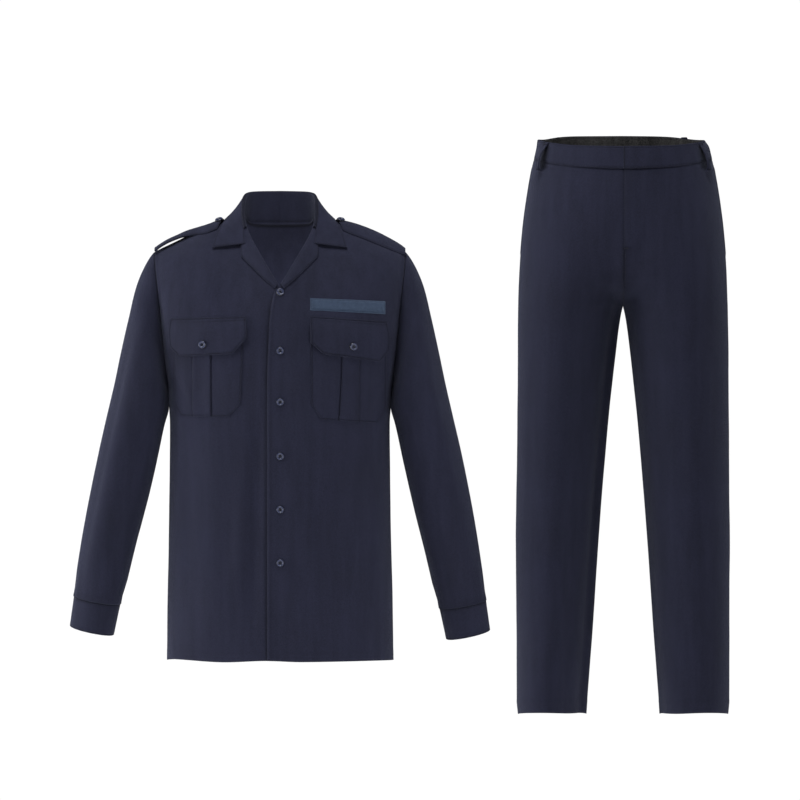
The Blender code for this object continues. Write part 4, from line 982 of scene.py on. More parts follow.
def trouser_creases():
    c = []
    R, L = -1.0, 1.0
    for side in (R, L):
        s = 0.0 if side == R else 1.0
        # folds running out of the crotch, front
        c.append(crease(leg_line(True, side, 14, -122 + 4 * s, 78, -86, 7), 8.0, 1.3, 0.2, 0.4))
        c.append(crease(leg_line(True, side, 12, -150, 70, -146 - 6 * s, -7), 8.5, -1.4, 0.2, 0.4))
        c.append(crease(leg_line(True, side, 22, -190 - 8 * s, 84, -218, -6), 10.0, 1.1, -0.2, 0.4))
        c.append(crease(leg_line(True, side, 16, -92, 48, -20 + 10 * s, 5), 9.0, -1.0, 0.2, 0.45))
        # the pressed line of the leg and soft drapes at its sides
        c.append(crease(leg_line(True, side, 96 + 3 * s, -60, 118, -480, 7), 17.0, 1.3, 0.1, 0.35))
        c.append(crease(leg_line(True, side, 118, -420, 124, -835, -4), 15.0, 1.2, 0.1, 0.35))
        c.append(crease(leg_line(True, side, 152, -170, 160, -520, 6), 13.0, -1.1, 0.15, 0.4))
        c.append(crease(leg_line(True, side, 66, -330, 74, -640, -5), 12.0, -1.0, 0.15, 0.45))
        # knee
        c.append(crease(leg_line(True, side, 52, -402, 100, -432 + 6 * s, -6), 9.0, 0.9, 0.2, 0.5))
        c.append(crease(leg_line(True, side, 58, -470, 104, -456, 6), 9.5, -0.8, 0.2, 0.5))
        c.append(crease(leg_line(True, side, 128, -446, 170, -420, 6), 9.0, 0.7, 0.2, 0.5))
        # ankle
        c.append(crease(leg_line(True, side, 84, -720, 150, -742 - 6 * s, -6), 11.0, 0.7, 0.2, 0.5))
        c.append(crease(leg_line(True, side, 78, -800, 132, -786, 5), 10.0, -0.7, 0.2, 0.5))
        # back: seat, thigh and behind the knee
        c.append(crease(leg_line(False, side, 16, -128, 96, -160 + 6 * s, -9), 10.0, -1.9, 0.2, 0.4))
        c.append(crease(leg_line(False, side, 24, -168, 108, -214, -9), 11.0, 1.7, -0.2, 0.4))
        c.append(crease(leg_line(False, side, 30, -226, 90, -268 - 8 * s, -7), 10.0, -1.3, 0.2, 0.4))
        c.append(crease(leg_line(False, side, 60, 60, 74, -80, 6), 14.0, 1.0, 0.15, 0.45))
        c.append(crease(leg_line(False, side, 56, -408, 140, -432, -8), 9.0, -1.8, 0.2, 0.4))
        c.append(crease(leg_line(False, side, 66, -446, 150, -452 + 8 * s, 8), 8.0, 1.6, -0.2, 0.4))
        c.append(crease(leg_line(False, side, 60, -486, 130, -470, 7), 9.0, -1.3, 0.2, 0.4))
        c.append(crease(leg_line(False, side, 104, -210, 118, -400, -6), 15.0, 1.2, 0.1, 0.4))
        c.append(crease(leg_line(False, side, 118, -500, 126, -830, 6), 16.0, 1.3, 0.1, 0.35))
        c.append(crease(leg_line(False, side, 156, -560, 158, -790, 4), 10.0, -0.9, 0.15, 0.45))
        # from the side pocket down over the hip
        c.append(crease(leg_line(True, side, 148, 44, 120, -40, 6), 10.0, 0.8, 0.2, 0.45))
    return c


# ---------------------------------------------------------------- shirt

def armhole_path(front):
    z = np.linspace(UNDERARM_Z, YOKE_Z + 70.0, 40)
    width, depth, share = ring_shape(front, z)
    y = body_y(front, width - 1e-6, z) * (-1.0 if front else 1.0)
    return np.stack([width, y, z], axis=-1)


def hollow(points, sleeve=False):
    """The cloth sinks in where the sleeve joins the side, further out on the sleeve than on the body."""
    flat = points.reshape(-1, 3) * 1.0
    mirrored = np.abs(flat[:, 0])
    probe = np.stack([mirrored, flat[:, 1], flat[:, 2]], axis=-1)
    near = (mirrored > 130.0) & (mirrored < 290.0) & (flat[:, 2] > -390.0) & (flat[:, 2] < -40.0)
    for front, depth, wide in ((True, 14.0, 24.0 if sleeve else 9.0), (False, 9.0, 20.0 if sleeve else 14.0)):
        path = armhole_path(front)
        pick = near & ((flat[:, 1] < 6.0) if front else (flat[:, 1] > -6.0))
        if not pick.any():
            continue
        d, _ = gap_to_path(probe[pick], path)
        high = ease((-84.0 - probe[pick][:, 2]) / 130.0)
        side = np.clip(np.abs(flat[pick, 1]) / 34.0, 0.0, 1.0)
        move = depth * np.exp(-(d / wide) ** 2) * high * side
        flat[pick, 1] += move * (1.0 if front else -1.0)
    return flat.reshape(points.shape)


def arm_drop(points, side):
    """One arm hangs a few millimetres longer than the other."""
    z = points[..., 2]
    dz = (-4.0 if side == "left" else 3.4) * ease((-430.0 - z) / 190.0)
    out = points.copy()
    out[..., 2] += dz
    return out


ARM_ROWS = 56
SHIRT_CLOTH = 1.0
SHOULDER_ROWS = np.linspace(0.0, 1.0, ARM_ROWS + 1)
HEM_WAVE = ((-230.0, -193.0, -95.0, -23.0, 38.0, 195.0, 230.0), (2.4, 2.4, -2.1, 0.4, -1.6, 0.2, 0.2))


def low_rows():
    return np.concatenate([[-764.0, -763.3, -762.3, -760.8], np.arange(-758.0, -292.5, 4.55), [-290.0]])[:-1]


def rise_rows():
    return (1.0 - np.cos(np.pi * SHOULDER_ROWS)) / 2.0


def front_grid(columns, upper):
    low, rise = low_rows(), rise_rows()
    grid = np.zeros((len(low) + len(rise), len(columns), 3))
    for c, x_top in enumerate(columns):
        def column_x(z):
            x = body_x(True, x_top, z)
            edge = smooth(z, LAP_EDGE[:, 0], LAP_EDGE[:, 1]) if upper else UNDER_EDGE
            return x + edge * np.maximum(0.0, 1.0 - x / 60.0)
        limit = top_limit(True, x_top)
        for _ in range(12):
            limit = top_limit(True, float(column_x(limit)))
        z = np.concatenate([low, UNDERARM_Z + rise * (limit - UNDERARM_Z)])
        x = column_x(z)
        y = -body_y(True, x, z)
        if upper:
            y = y - lap_lift(x)
        grid[:, c] = np.stack([x, y, z], axis=-1)
    return grid


def back_grid(columns):
    low, rise = low_rows(), rise_rows()
    half = np.zeros((len(low) + len(rise), len(columns), 3))
    for c, x_top in enumerate(columns):
        limit = top_limit(False, x_top)
        for _ in range(12):
            limit = top_limit(False, float(body_x(False, x_top, limit)))
        z = np.concatenate([low, UNDERARM_Z + rise * (limit - UNDERARM_Z)])
        x = body_x(False, x_top, z)
        half[:, c] = np.stack([x, body_y(False, x, z), z], axis=-1)
    return np.concatenate([half[:, :0:-1] * MIRROR, half], axis=1)


def arc_from(points, axis, end):
    """Distance along the rows or columns of a grid from one of its ends."""
    step = np.linalg.norm(np.diff(points, axis=axis), axis=2)
    if end:
        step = np.flip(step, axis=axis)
    zero = np.zeros_like(np.take(step, [0], axis=axis))
    run = np.cumsum(np.concatenate([zero, step], axis=axis), axis=axis)
    return np.flip(run, axis=axis) if end else run


def seam_rise(d, stitched=True):
    """Height beside a felled seam: a groove on the seam, pressed rows beside it."""
    h = 0.75 * (1.0 - np.exp(-(d / 1.3) ** 2))
    if stitched:
        h = h - 0.45 * np.exp(-((d - 1.9) / 0.7) ** 2) - 0.42 * np.exp(-((d - 7.2) / 0.9) ** 2)
        h = h + 0.4 * np.exp(-((d - 4.4) / 1.6) ** 2)
    return h


def flat_seam_normals(normals, low_count, neck_from, sides, both=False):
    n = normals.copy()
    for c in sides:
        n[:low_count + 1, c, 1] = 0.0
    n[-1, neck_from:, 1] = 0.0
    if both:
        n[-1, :normals.shape[1] - neck_from, 1] = 0.0
    return unit(n)


def hem_shift(points, side):
    """The hem line dips and rises a little."""
    x = points[..., 0] * side
    dz = smooth(np.clip(x, -230.0, 230.0), *[np.array(q) for q in HEM_WAVE])
    dz = np.where(points[..., 1] > 0.0, 0.6 * np.sin(x / 60.0), dz)
    blend = np.clip((-764.0 + 150.0 - points[..., 2]) / 150.0, 0.0, 1.0) ** 1.5
    return dz * blend


def fold_beside(z):
    """Where the wearer's right front dips beneath the lapped edge."""
    return -smooth(z, LAP_EDGE[:, 0], LAP_EDGE[:, 1]) + 1.2


def build_front(side, creases, material):
    upper = side == "left"
    flip = 1.0 if upper else -1.0
    f = np.array([flip, 1.0, 1.0])
    columns = np.concatenate([[0.0, 0.8, 2.0, 4.0], np.linspace(7.5, 64.0, 17), np.linspace(68.0, 213.5, 42),
                              [216.0, 217.6, 218.7, 219.5]])
    neck_from = int(np.argmin(np.abs(columns - 64.0)))
    base = hollow(front_grid(columns, upper))
    n_low = len(low_rows())
    normals = grid_normals(base)
    if normals[3, 2, 1] > 0.0:
        normals = -normals
    normals = flat_seam_normals(normals, n_low, neck_from, (len(columns) - 1,))
    world, wn = base * f, normals * f
    d_side = arc_from(base, 1, True)
    d_top = arc_from(base, 0, True)
    d_top[:, :neck_from] += 40.0
    d_low = arc_from(base, 0, False)
    h = crease_height(world.reshape(-1, 3), wn.reshape(-1, 3), creases).reshape(base.shape[:2])
    h = h + unevenness(world, 1.0, 0.55)
    hole = np.zeros(base.shape[:2])
    hole[n_low:] = 1.0
    # nothing moves at the armhole and the shoulder, so that the pieces meet there
    h = h * (1.0 - hole * np.exp(-(d_side / 5.0) ** 2)) * (1.0 - np.exp(-(d_top / 5.0) ** 2))
    edge = arc_from(base, 1, False)
    h = h * (0.35 + 0.65 * ease(edge / 18.0))
    h = h * (0.25 + 0.75 * ease((arc_from(base, 0, True) - 2.0) / 30.0))
    stitched = np.where(hole > 0.0, seam_rise(d_side), 0.75 * (1.0 - np.exp(-(d_side / 1.3) ** 2)))
    h = h + stitched + seam_rise(d_top, False) - 0.75
    # the folded front edge and the hem are a little thicker than the single cloth
    if upper:
        h = h + 1.5 * (1.0 - np.exp(-(edge / 1.4) ** 2)) * np.exp(-(edge / 9.0) ** 2) * ease((-116.0 - base[..., 2]) / 20.0)
    h = h + 0.22 * (1.0 - ease((d_low - 15.0) / 1.6))
    points = world + wn * h[..., None]
    points[..., 2] += hem_shift(world, 1.0)
    wall = thick(points, SHIRT_CLOTH, wn, closed=False, round_sides="bl")
    # painted shade: darker along the armhole and side seams, at the hem fold and, on the upper front, along its lapped
    # edge
    tone = hole * beside(d_side, 1.7) + 0.4 * (1.0 - hole) * beside(d_side, 1.2) + 0.1 * beside(d_low - 15.5, 1.0)
    if upper:
        tone = tone + 0.5 * beside(edge, 0.8) + 0.25 * beside(edge - 6.0, 1.0)
    else:
        # painted shade in the fold beside the lapped edge
        tone = tone + 0.75 * beside(base[..., 0] - fold_beside(base[..., 2]), 2.6) * ease((-118.0 - base[..., 2]) / 30.0)
    item = cloth_piece("shirt_front_%s_cloth" % side, [wall], material, [tone])
    edge_line = (points[n_low:, -1] * f, normals[n_low:, -1])
    # rows of stitching beside the armhole
    rows = []
    for target in (1.9, 7.2):
        line, nl = [], []
        for r in range(n_low + 2, len(points) - 1):
            d = d_side[r][::-1]
            line.append([np.interp(target, d, points[r, ::-1, k]) for k in range(3)])
            nl.append([np.interp(target, d, wn[r, ::-1, k]) for k in range(3)])
        stitch_row("shirt", np.array(line), unit(np.array(nl)))
    return item, edge_line, (base[n_low:, -1], normals[n_low:, -1])


def build_back(creases, material):
    columns = np.concatenate([np.linspace(0.0, 64.0, 14), np.linspace(68.0, 213.5, 38), [216.0, 217.6, 218.7, 219.5]])
    base = hollow(back_grid(columns))
    n_low = len(low_rows())
    count = base.shape[1]
    neck_at = len(columns) - 1 + int(np.argmin(np.abs(columns - 64.0)))
    normals = grid_normals(base)
    if normals[3, 8, 1] < 0.0:
        normals = -normals
    normals = flat_seam_normals(normals, n_low, neck_at, (0, count - 1), both=True)
    d_side = np.minimum(arc_from(base, 1, True), arc_from(base, 1, False))
    d_top = arc_from(base, 0, True)
    d_top[:, count - neck_at:neck_at] += 40.0
    h = crease_height(base.reshape(-1, 3), normals.reshape(-1, 3), creases).reshape(base.shape[:2])
    h = h + unevenness(base, 1.0, 0.6)
    hole = np.zeros(base.shape[:2])
    hole[n_low:] = 1.0
    h = h * (1.0 - hole * np.exp(-(d_side / 5.0) ** 2)) * (1.0 - np.exp(-(d_top / 5.0) ** 2))
    h = h * (0.15 + 0.85 * ease((arc_from(base, 0, True) - 2.0) / 30.0))
    stitched = np.where(hole > 0.0, seam_rise(d_side), 0.75 * (1.0 - np.exp(-(d_side / 1.3) ** 2)))
    h = h + stitched + seam_rise(d_top, False) - 0.75
    # yoke seam across the shoulder blades
    yoke = np.abs(base[..., 2] - (-92.0 + 6.0 * np.cos(base[..., 0] / 90.0)))
    inner = np.exp(-(np.clip(np.abs(base[..., 0]) - 205.0, 0.0, None) / 6.0) ** 2)
    h = h - 0.45 * np.exp(-(yoke / 1.3) ** 2) * inner
    d_low = arc_from(base, 0, False)
    h = h + 0.22 * (1.0 - ease((d_low - 15.0) / 1.6))
    points = base + normals * h[..., None]
    points[..., 2] += hem_shift(base, 1.0)
    wall = thick(points, SHIRT_CLOTH, normals, closed=False, round_sides="b")
    # painted shade: darker along the seams, the yoke seam and the hem fold
    tone = hole * beside(d_side, 1.7) + 0.8 * beside(yoke, 1.2) * inner + 0.1 * beside(d_low - 15.5, 1.0)
    tone = tone + (1.0 - hole) * 0.4 * beside(d_side, 1.2)
    # painted shadow beneath the collar stand, along the back neckline
    neck = np.zeros(base.shape[:2])
    neck[n_low:, count - neck_at:neck_at] = 1.0
    tone = tone + 2.6 * neck * beside(arc_from(base, 0, True) - 3.6, 3.8)
    item = cloth_piece("shirt_back_cloth", [wall], material, [tone])
    for sign in (1.0, -1.0):
        for target in (1.9, 7.2):
            line, nl = [], []
            for r in range(n_low + 2, len(points) - 1):
                d = (arc_from(base[r:r + 1], 1, sign > 0.0)[0])
                order = slice(None, None, -1) if sign > 0.0 else slice(None)
                line.append([np.interp(target, d[order], points[r, order, k]) for k in range(3)])
                nl.append([np.interp(target, d[order], normals[r, order, k]) for k in range(3)])
            stitch_row("shirt", np.array(line), unit(np.array(nl)))
    # yoke stitching, just above its seam
    xs = np.linspace(-206.0, 206.0, 120)
    zs = -92.0 + 6.0 * np.cos(xs / 90.0) + 2.6
    line = on_back(xs, zs)
    nl = unit(np.stack([0.0 * xs, 1.0 + 0.0 * xs, 0.35 + 0.0 * xs], axis=-1))
    stitch_row("shirt", line + nl * 0.1, nl)
    return item, (base[n_low:, -1], normals[n_low:, -1])


def build_sleeve(side, front_edge, back_edge, creases, material):
    flip = 1.0 if side == "left" else -1.0
    f = np.array([flip, 1.0, 1.0])
    hole = np.concatenate([front_edge[0][::-1], back_edge[0][1:-1]])
    steps = ARM_ROWS
    angles = np.pi * np.arange(2 * steps) / steps
    tuck = CUFF[0] + (CUFF[1] - CUFF[0]) * 0.30
    tuck = np.array([tuck[0] - 2.8, tuck[1], tuck[2] + 2.8, tuck[3], tuck[4] - 2.8, tuck[5], tuck[6]])
    rings = [hole] + [sleeve_ring(row, angles) for row in SLEEVE[:-1]]
    # swelling a little, then drawn sharply into the cuff's seam
    for share, inset in ((0.94, -1.1), (0.975, -1.7), (0.992, -0.8), (1.003, 1.3), (1.012, 2.4)):
        row = SLEEVE[-2] + (CUFF[0] - SLEEVE[-2]) * share
        rings.append(sleeve_ring(np.array([row[0] - inset, row[1], row[2] + inset, row[3], row[4] - inset, row[5], row[6]]), angles))
    rings.append(sleeve_ring(tuck, angles))
    rings = np.array(rings)
    gap = np.linalg.norm(np.diff(rings, axis=0), axis=2).mean(axis=1)
    keys = np.concatenate([[0.0], np.cumsum(gap)])
    at = [keys[0], keys[0] + 0.8, keys[0] + 1.8, keys[0] + 3.2]
    at = np.concatenate([at, np.linspace(keys[0] + 5.2, keys[-7] - 2.0, 140), np.linspace(keys[-7], keys[-5], 4)[1:],
                         np.linspace(keys[-5], keys[-2], 9)[1:], [keys[-1]]])
    base = hollow(smooth_rows(at, keys, rings), True)
    normals = grid_normals(base, closed=True)
    if normals[6, 0, 0] < 0.0:
        normals = -normals
    under = ease((np.abs(np.abs(angles - np.pi)) - 0.5) / 1.2)[:, None]
    hole_n = np.concatenate([front_edge[1][::-1], back_edge[1][1:-1]])
    normals[0] = unit(normals[0] * (1.0 - under) + hole_n * under)
    world, wn = base * f, normals * f
    d = arc_from(base, 0, False)
    h = crease_height(world.reshape(-1, 3), wn.reshape(-1, 3), creases).reshape(base.shape[:2])
    h = h + unevenness(world, 2.0 + flip, 0.55)
    h = h * (1.0 - np.exp(-(d / 5.0) ** 2)) * ease((arc_from(base, 0, True) - 14.0) / 16.0)
    h = h + 0.75 * (1.0 - np.exp(-(d / 1.3) ** 2)) * ease((arc_from(base, 0, True) - 12.0) / 4.0)
    # the sleeve's own seam runs down from the underarm
    seam = np.abs(angles - np.pi)[None, :] * 30.0 + 0.0 * d
    h = h - 0.4 * np.exp(-(seam / 1.4) ** 2)
    points = arm_drop(world + wn * h[..., None], side)
    wall = thick(points, SHIRT_CLOTH, wn, closed=True, round_sides="t")
    # painted shade along the armhole seam, the underarm seam and the cuff seam
    tone = beside(d, 1.7) + 0.4 * beside(seam, 1.2) + beside(np.clip(arc_from(base, 0, True) - 9.5, 0.0, None), 2.2)
    return cloth_piece("sleeve_%s_cloth" % side, [wall], material, [tone])


def build_cuff(side, material):
    """Double cloth round the sleeve's end; its ends lap over each other behind the wrist."""
    flip = 1.0 if side == "left" else -1.0
    f = np.array([flip, 1.0, 1.0])
    lap_at = math.radians(236.0)
    turn = np.concatenate([lap_at - 0.13 + np.array([0.0, 0.006, 0.015, 0.03]),
                           np.linspace(lap_at - 0.07, lap_at + 2.0 * math.pi + 0.12, 96),
                           lap_at + 2.0 * math.pi + np.array([0.16, 0.175, 0.184, 0.19])])
    t = np.array([0.0, 0.012, 0.03, 0.055, 0.09, 0.14, 0.22, 0.32, 0.42, 0.52, 0.62, 0.72, 0.8, 0.86, 0.905, 0.94,
                  0.965, 0.985, 1.0])
    rows = smooth_rows(t, np.linspace(0.0, 1.0, len(CUFF)), CUFF)
    base = np.stack([sleeve_ring(r, turn) for r in rows])
    normals = grid_normals(base)
    if normals[5, 3, 0] * math.cos(turn[3]) < 0.0:
        normals = -normals
    down = arc_from(base, 0, False)
    up = arc_from(base, 0, True)
    ends = np.minimum(arc_from(base, 1, False), arc_from(base, 1, True))
    d = np.minimum(np.minimum(down, up), ends)
    h = 0.35 + stitched_edge(d, 2.2)
    h = h + unevenness(base * f, 4.0, 0.35)
    lap = np.zeros(len(turn))
    lap += 1.9 * ease((turn - (lap_at + 2.0 * math.pi - 0.42)) / 0.22)
    h = h + lap[None, :]
    start = 1.0 - ease((turn - lap_at + 0.13) / 0.5)
    h = h - 0.5 * start[None, :]
    points = arm_drop((base + normals * h[..., None]) * f, side)
    wn = normals * f
    wall = thick(points, 1.7, wn, closed=False)
    # painted shade along the rows of stitching, at the lapped end and at the seam along the cuff's top
    tone = 0.5 * beside(down - 2.2, 0.8) + 0.5 * beside(ends - 2.2, 0.8) + 0.4 * beside(up - 2.2, 0.8) + 0.9 * beside(down, 1.0)
    item = cloth_piece("cuff_%s_cloth" % side, [wall], material, [tone])
    for target, which in ((2.2, down), (2.2, up)):
        line, nl = [], []
        for c in range(3, len(turn) - 3):
            col = which[:, c]
            order = np.argsort(col)
            line.append([np.interp(target, col[order], points[order, c, k]) for k in range(3)])
            nl.append([np.interp(target, col[order], wn[order, c, k]) for k in range(3)])
        stitch_row("shirt", np.array(line), unit(np.array(nl)))
    # down the lapped end
    d_end = arc_from(base, 1, True)
    line, nl = [], []
    for r in range(3, len(t) - 3):
        line.append([np.interp(2.2, d_end[r][::-1], points[r, ::-1, k]) for k in range(3)])
        nl.append([np.interp(2.2, d_end[r][::-1], wn[r, ::-1, k]) for k in range(3)])
    stitch_row("shirt", np.array(line), unit(np.array(nl)))
    return item


def patch_grid(table, t, u, upper):
    """Places on the front: z inner, z outer, x inner, x outer at each t; u runs from inner to outer."""
    keys = np.linspace(0.0, 1.0, len(table))
    zi, zo, xi, xo = (np.interp(t, keys, table[:, c]) for c in range(4))
    x = xi[:, None] * (1.0 - u[None, :]) + xo[:, None] * u[None, :]
    z = zi[:, None] * (1.0 - u[None, :]) + zo[:, None] * u[None, :]
    return x, z


def corner_rows(table, knee, count_a, count_b):
    """Shares down a patch with close rows at both ends and a row at its corner."""
    return np.concatenate([[0.0, 0.006, 0.013, 0.022, 0.034], np.linspace(0.05, knee - 0.012, count_a), [knee],
                           np.linspace(knee + 0.02, 0.955, count_b), [0.972, 0.984, 0.993, 1.0]])


def edge_shares(count):
    return np.concatenate([[0.0, 0.005, 0.011, 0.018, 0.027], np.linspace(0.038, 0.962, count),
                           [0.973, 0.982, 0.989, 0.995, 1.0]])


def outline_stitches(group, outline, inset, upper, flip, lift, skip=()):
    """Stitches along the sides of an outline on the front, set in from the edge."""
    centre = np.mean(outline, axis=0)
    n = len(outline)
    lines = []
    for k in range(n):
        a, b = np.array(outline[k]), np.array(outline[(k + 1) % n])
        run = (b - a) / np.linalg.norm(b - a)
        inward = np.array([-run[1], run[0]])
        if np.dot(centre - a, inward) < 0.0:
            inward = -inward
        lines.append((a + inward * inset, b + inward * inset))

    def cross(one, two):
        p, r = one[0], one[1] - one[0]
        q, s = two[0], two[1] - two[0]
        w = r[0] * s[1] - r[1] * s[0]
        k = ((q[0] - p[0]) * s[1] - (q[1] - p[1]) * s[0]) / w
        return p + r * k
    for k in range(n):
        if k in skip:
            continue
        a = cross(lines[k - 1], lines[k])
        b = cross(lines[k], lines[(k + 1) % n])
        m = max(4, int(np.linalg.norm(b - a) / 6.0))
        s = np.linspace(0.0, 1.0, m)[:, None]
        line = a * (1.0 - s) + b * s
        value = lift(line[:, 0], line[:, 1]) if callable(lift) else np.full(m, lift)
        p, nl = on_front(line[:, 0], line[:, 1], value, upper)
        f = np.array([flip, 1.0, 1.0])
        stitch_row(group, p * f, nl * f)


def build_pocket(side, creases, material):
    upper = side == "left"
    flip = 1.0 if upper else -1.0
    f = np.array([flip, 1.0, 1.0])
    table = POCKET_LEFT if upper else POCKET_RIGHT
    t = corner_rows(table, 0.6667, 26, 12)
    keys = np.linspace(0.0, 1.0, len(table))
    rows = np.stack([np.interp(t, keys, table[:, c]) for c in range(6)], axis=-1)
    outline = [(table[0, 2], table[0, 0]), (table[0, 5], table[0, 1]), (table[2, 5], table[2, 1]),
               (table[3, 5], table[3, 1]), (table[3, 2], table[3, 0]), (table[2, 2], table[2, 0])]
    # inner pane, pleat and outer pane; the pleat laps over both
    open_in = 2.4 if upper else 1.4      # the side where the pleat stands open
    open_out = 1.3 if upper else 2.6
    walls, tones = [], []

    def lift_of(x, z, base, away=None):
        d = polygon_gap(x, z, outline, skip=(0,))
        bulge = 1.3 * (1.0 - np.exp(-(d / 16.0) ** 2))
        h = base + stitched_edge(d, 2.2, 0.4, 0.9, 0.2) + bulge
        return h

    spans = (("inner", rows[:, 2], rows[:, 3] + 3.0, 22), ("outer", rows[:, 4] - 3.0, rows[:, 5], 18))
    for key, xa, xb, count in spans:
        u = edge_shares(count)
        x = xa[:, None] * (1.0 - u) + xb[:, None] * u
        z = rows[:, 0:1] + (rows[:, 1:2] - rows[:, 0:1]) * (x - rows[:, 2:3]) / (rows[:, 5:6] - rows[:, 2:3])
        base = np.full(x.shape, 1.75)
        # the panes dive beneath the pleat
        if key == "inner":
            base = base - 1.5 * ease((x - (rows[:, 3:4] - 3.5)) / 4.0)
        else:
            base = base - 1.5 * ease(((rows[:, 4:5] + 3.5) - x) / 4.0)
        lift = lift_of(x, z, base)
        p, n = on_front(x, z, lift, upper)
        p, n = p * f, n * f
        lift = crease_height(p.reshape(-1, 3), n.reshape(-1, 3), creases).reshape(x.shape)
        p = p + n * (lift + unevenness(p, 6.0, 0.3))[..., None]
        walls.append(thick(p, 1.0, n, closed=False, round_sides="btlr"))
        gap = polygon_gap(x, z, outline, skip=(0,))
        dive = (x - (rows[:, 3:4] - 2.5)) if key == "inner" else ((rows[:, 4:5] + 2.5) - x)
        # painted shade along the edges and where the panes dive under the pleat
        tones.append(painted_edge_shade(gap) + 0.8 * ease(dive / 2.6))
    u = edge_shares(14)
    down = t[:, None]
    splay = 0.4 + 1.0 * ease((down - 0.1) / 0.9)
    xa = rows[:, 3:4] - (0.3 if upper else 0.9) * splay
    xb = rows[:, 4:5] + (0.9 if upper else 0.3) * splay
    x = xa * (1.0 - u[None, :]) + xb * u[None, :]
    z = rows[:, 0:1] + (rows[:, 1:2] - rows[:, 0:1]) * (x - rows[:, 2:3]) / (rows[:, 5:6] - rows[:, 2:3])
    d = polygon_gap(x, z, outline, skip=(0,))
    side_in = u[None, :] * (xb - xa)
    side_out = (1.0 - u[None, :]) * (xb - xa)
    lift = 3.0 + 0.9 * (1.0 - np.exp(-(d / 9.0) ** 2)) + stitched_edge(d, 2.2, 0.4, 0.9, 0.2)
    lift = lift + open_in * 0.5 * np.exp(-(side_in / 6.0) ** 2) * ease(d / 14.0)
    lift = lift + open_out * 0.5 * np.exp(-(side_out / 6.0) ** 2) * ease(d / 14.0)
    lift = lift - 0.5 * np.exp(-(side_in / 0.9) ** 2) - 0.5 * np.exp(-(side_out / 0.9) ** 2)
    lift = lift - 0.5 * np.exp(-(((side_in - side_out) / 2.0) / 7.0) ** 2)
    p, n = on_front(x, z, lift, upper)
    p, n = p * f, n * f
    p = p + n * (crease_height(p.reshape(-1, 3), n.reshape(-1, 3), creases).reshape(x.shape)
                 + unevenness(p, 6.5, 0.25))[..., None]
    walls.append(thick(p, 1.0, n, closed=False, round_sides="btlr"))
    # painted shade along the edges and the pleat's folded sides
    tones.append(painted_edge_shade(d) + 0.4 * beside(side_in, 0.8) + 0.4 * beside(side_out, 0.8))
    item = cloth_piece("pocket_%s_cloth" % side, walls, material, tones)
    outline_stitches("shirt", outline, 2.2, upper, flip, 2.0, skip=(0,))
    return item


def build_flap(side, material):
    upper = side == "left"
    flip = 1.0 if upper else -1.0
    f = np.array([flip, 1.0, 1.0])
    table = FLAP_LEFT if upper else FLAP_RIGHT
    t = corner_rows(table, 0.6667, 18, 9)
    u = edge_shares(40)
    x, z = patch_grid(table[:, [0, 1, 2, 3]], t, u, upper)
    outline = [(table[0, 2], table[0, 0]), (table[0, 3], table[0, 1]), (table[1, 3], table[1, 1]), (table[2, 3], table[2, 1]),
               (table[3, 3], table[3, 1]), (table[3, 2], table[3, 0]), (table[2, 2], table[2, 0]), (table[1, 2], table[1, 0])]
    base_t = np.interp(t, [0.0, 0.1, 0.2, 0.34, 0.5, 0.8, 1.0], [1.6, 2.6, 3.6, 5.2, 6.2, 6.9, 7.1])[:, None] + 0.0 * x
    top = [(table[0, 2], table[0, 0]), (table[0, 3], table[0, 1])]
    d = polygon_gap(x, z, outline)
    d_top = polygon_gap(x, z, outline, skip=(1, 2, 3, 4, 5, 6, 7))
    swell = 0.8 * np.exp(-((x - np.mean(table[:, 2:4])) / 22.0) ** 2) * (1.0 - np.exp(-(d / 8.0) ** 2))
    lift = base_t + stitched_edge(d, 2.2, 0.42, 0.9, 0.25) + swell
    # pressed again along the row of stitching that holds the flap
    lift = lift - 0.5 * np.exp(-((d_top - 6.8) / 1.0) ** 2) * ease((d - 1.0) / 3.0)
    p, n = on_front(x, z, lift, upper)
    p, n = p * f, n * f
    p = p + n * unevenness(p, 7.0, 0.3)[..., None]
    wall = thick(p, 1.5, n, closed=False)
    # painted shade along the edges and the row of stitching across the top
    tone = painted_edge_shade(d) + 0.5 * beside(d_top - 6.8, 0.9)
    item = cloth_piece("pocket_flap_%s_cloth" % side, [wall], material, [tone])
    keys = np.linspace(0.0, 1.0, len(table))

    def height(px, pz):
        zi = np.interp(px, [table[0, 2], table[0, 3]], [table[0, 0], table[0, 1]])
        drop = np.clip((zi - pz) / (zi - np.interp(px, [table[3, 2], table[3, 3]], [table[3, 0], table[3, 1]])), 0.0, 1.0)
        return np.interp(drop, [0.0, 0.1, 0.2, 0.34, 0.5, 0.8, 1.0], [1.6, 2.6, 3.6, 5.2, 6.2, 6.9, 7.1]) - 0.1
    outline_stitches("shirt", outline, 2.2, upper, flip, height, skip=())
    return item


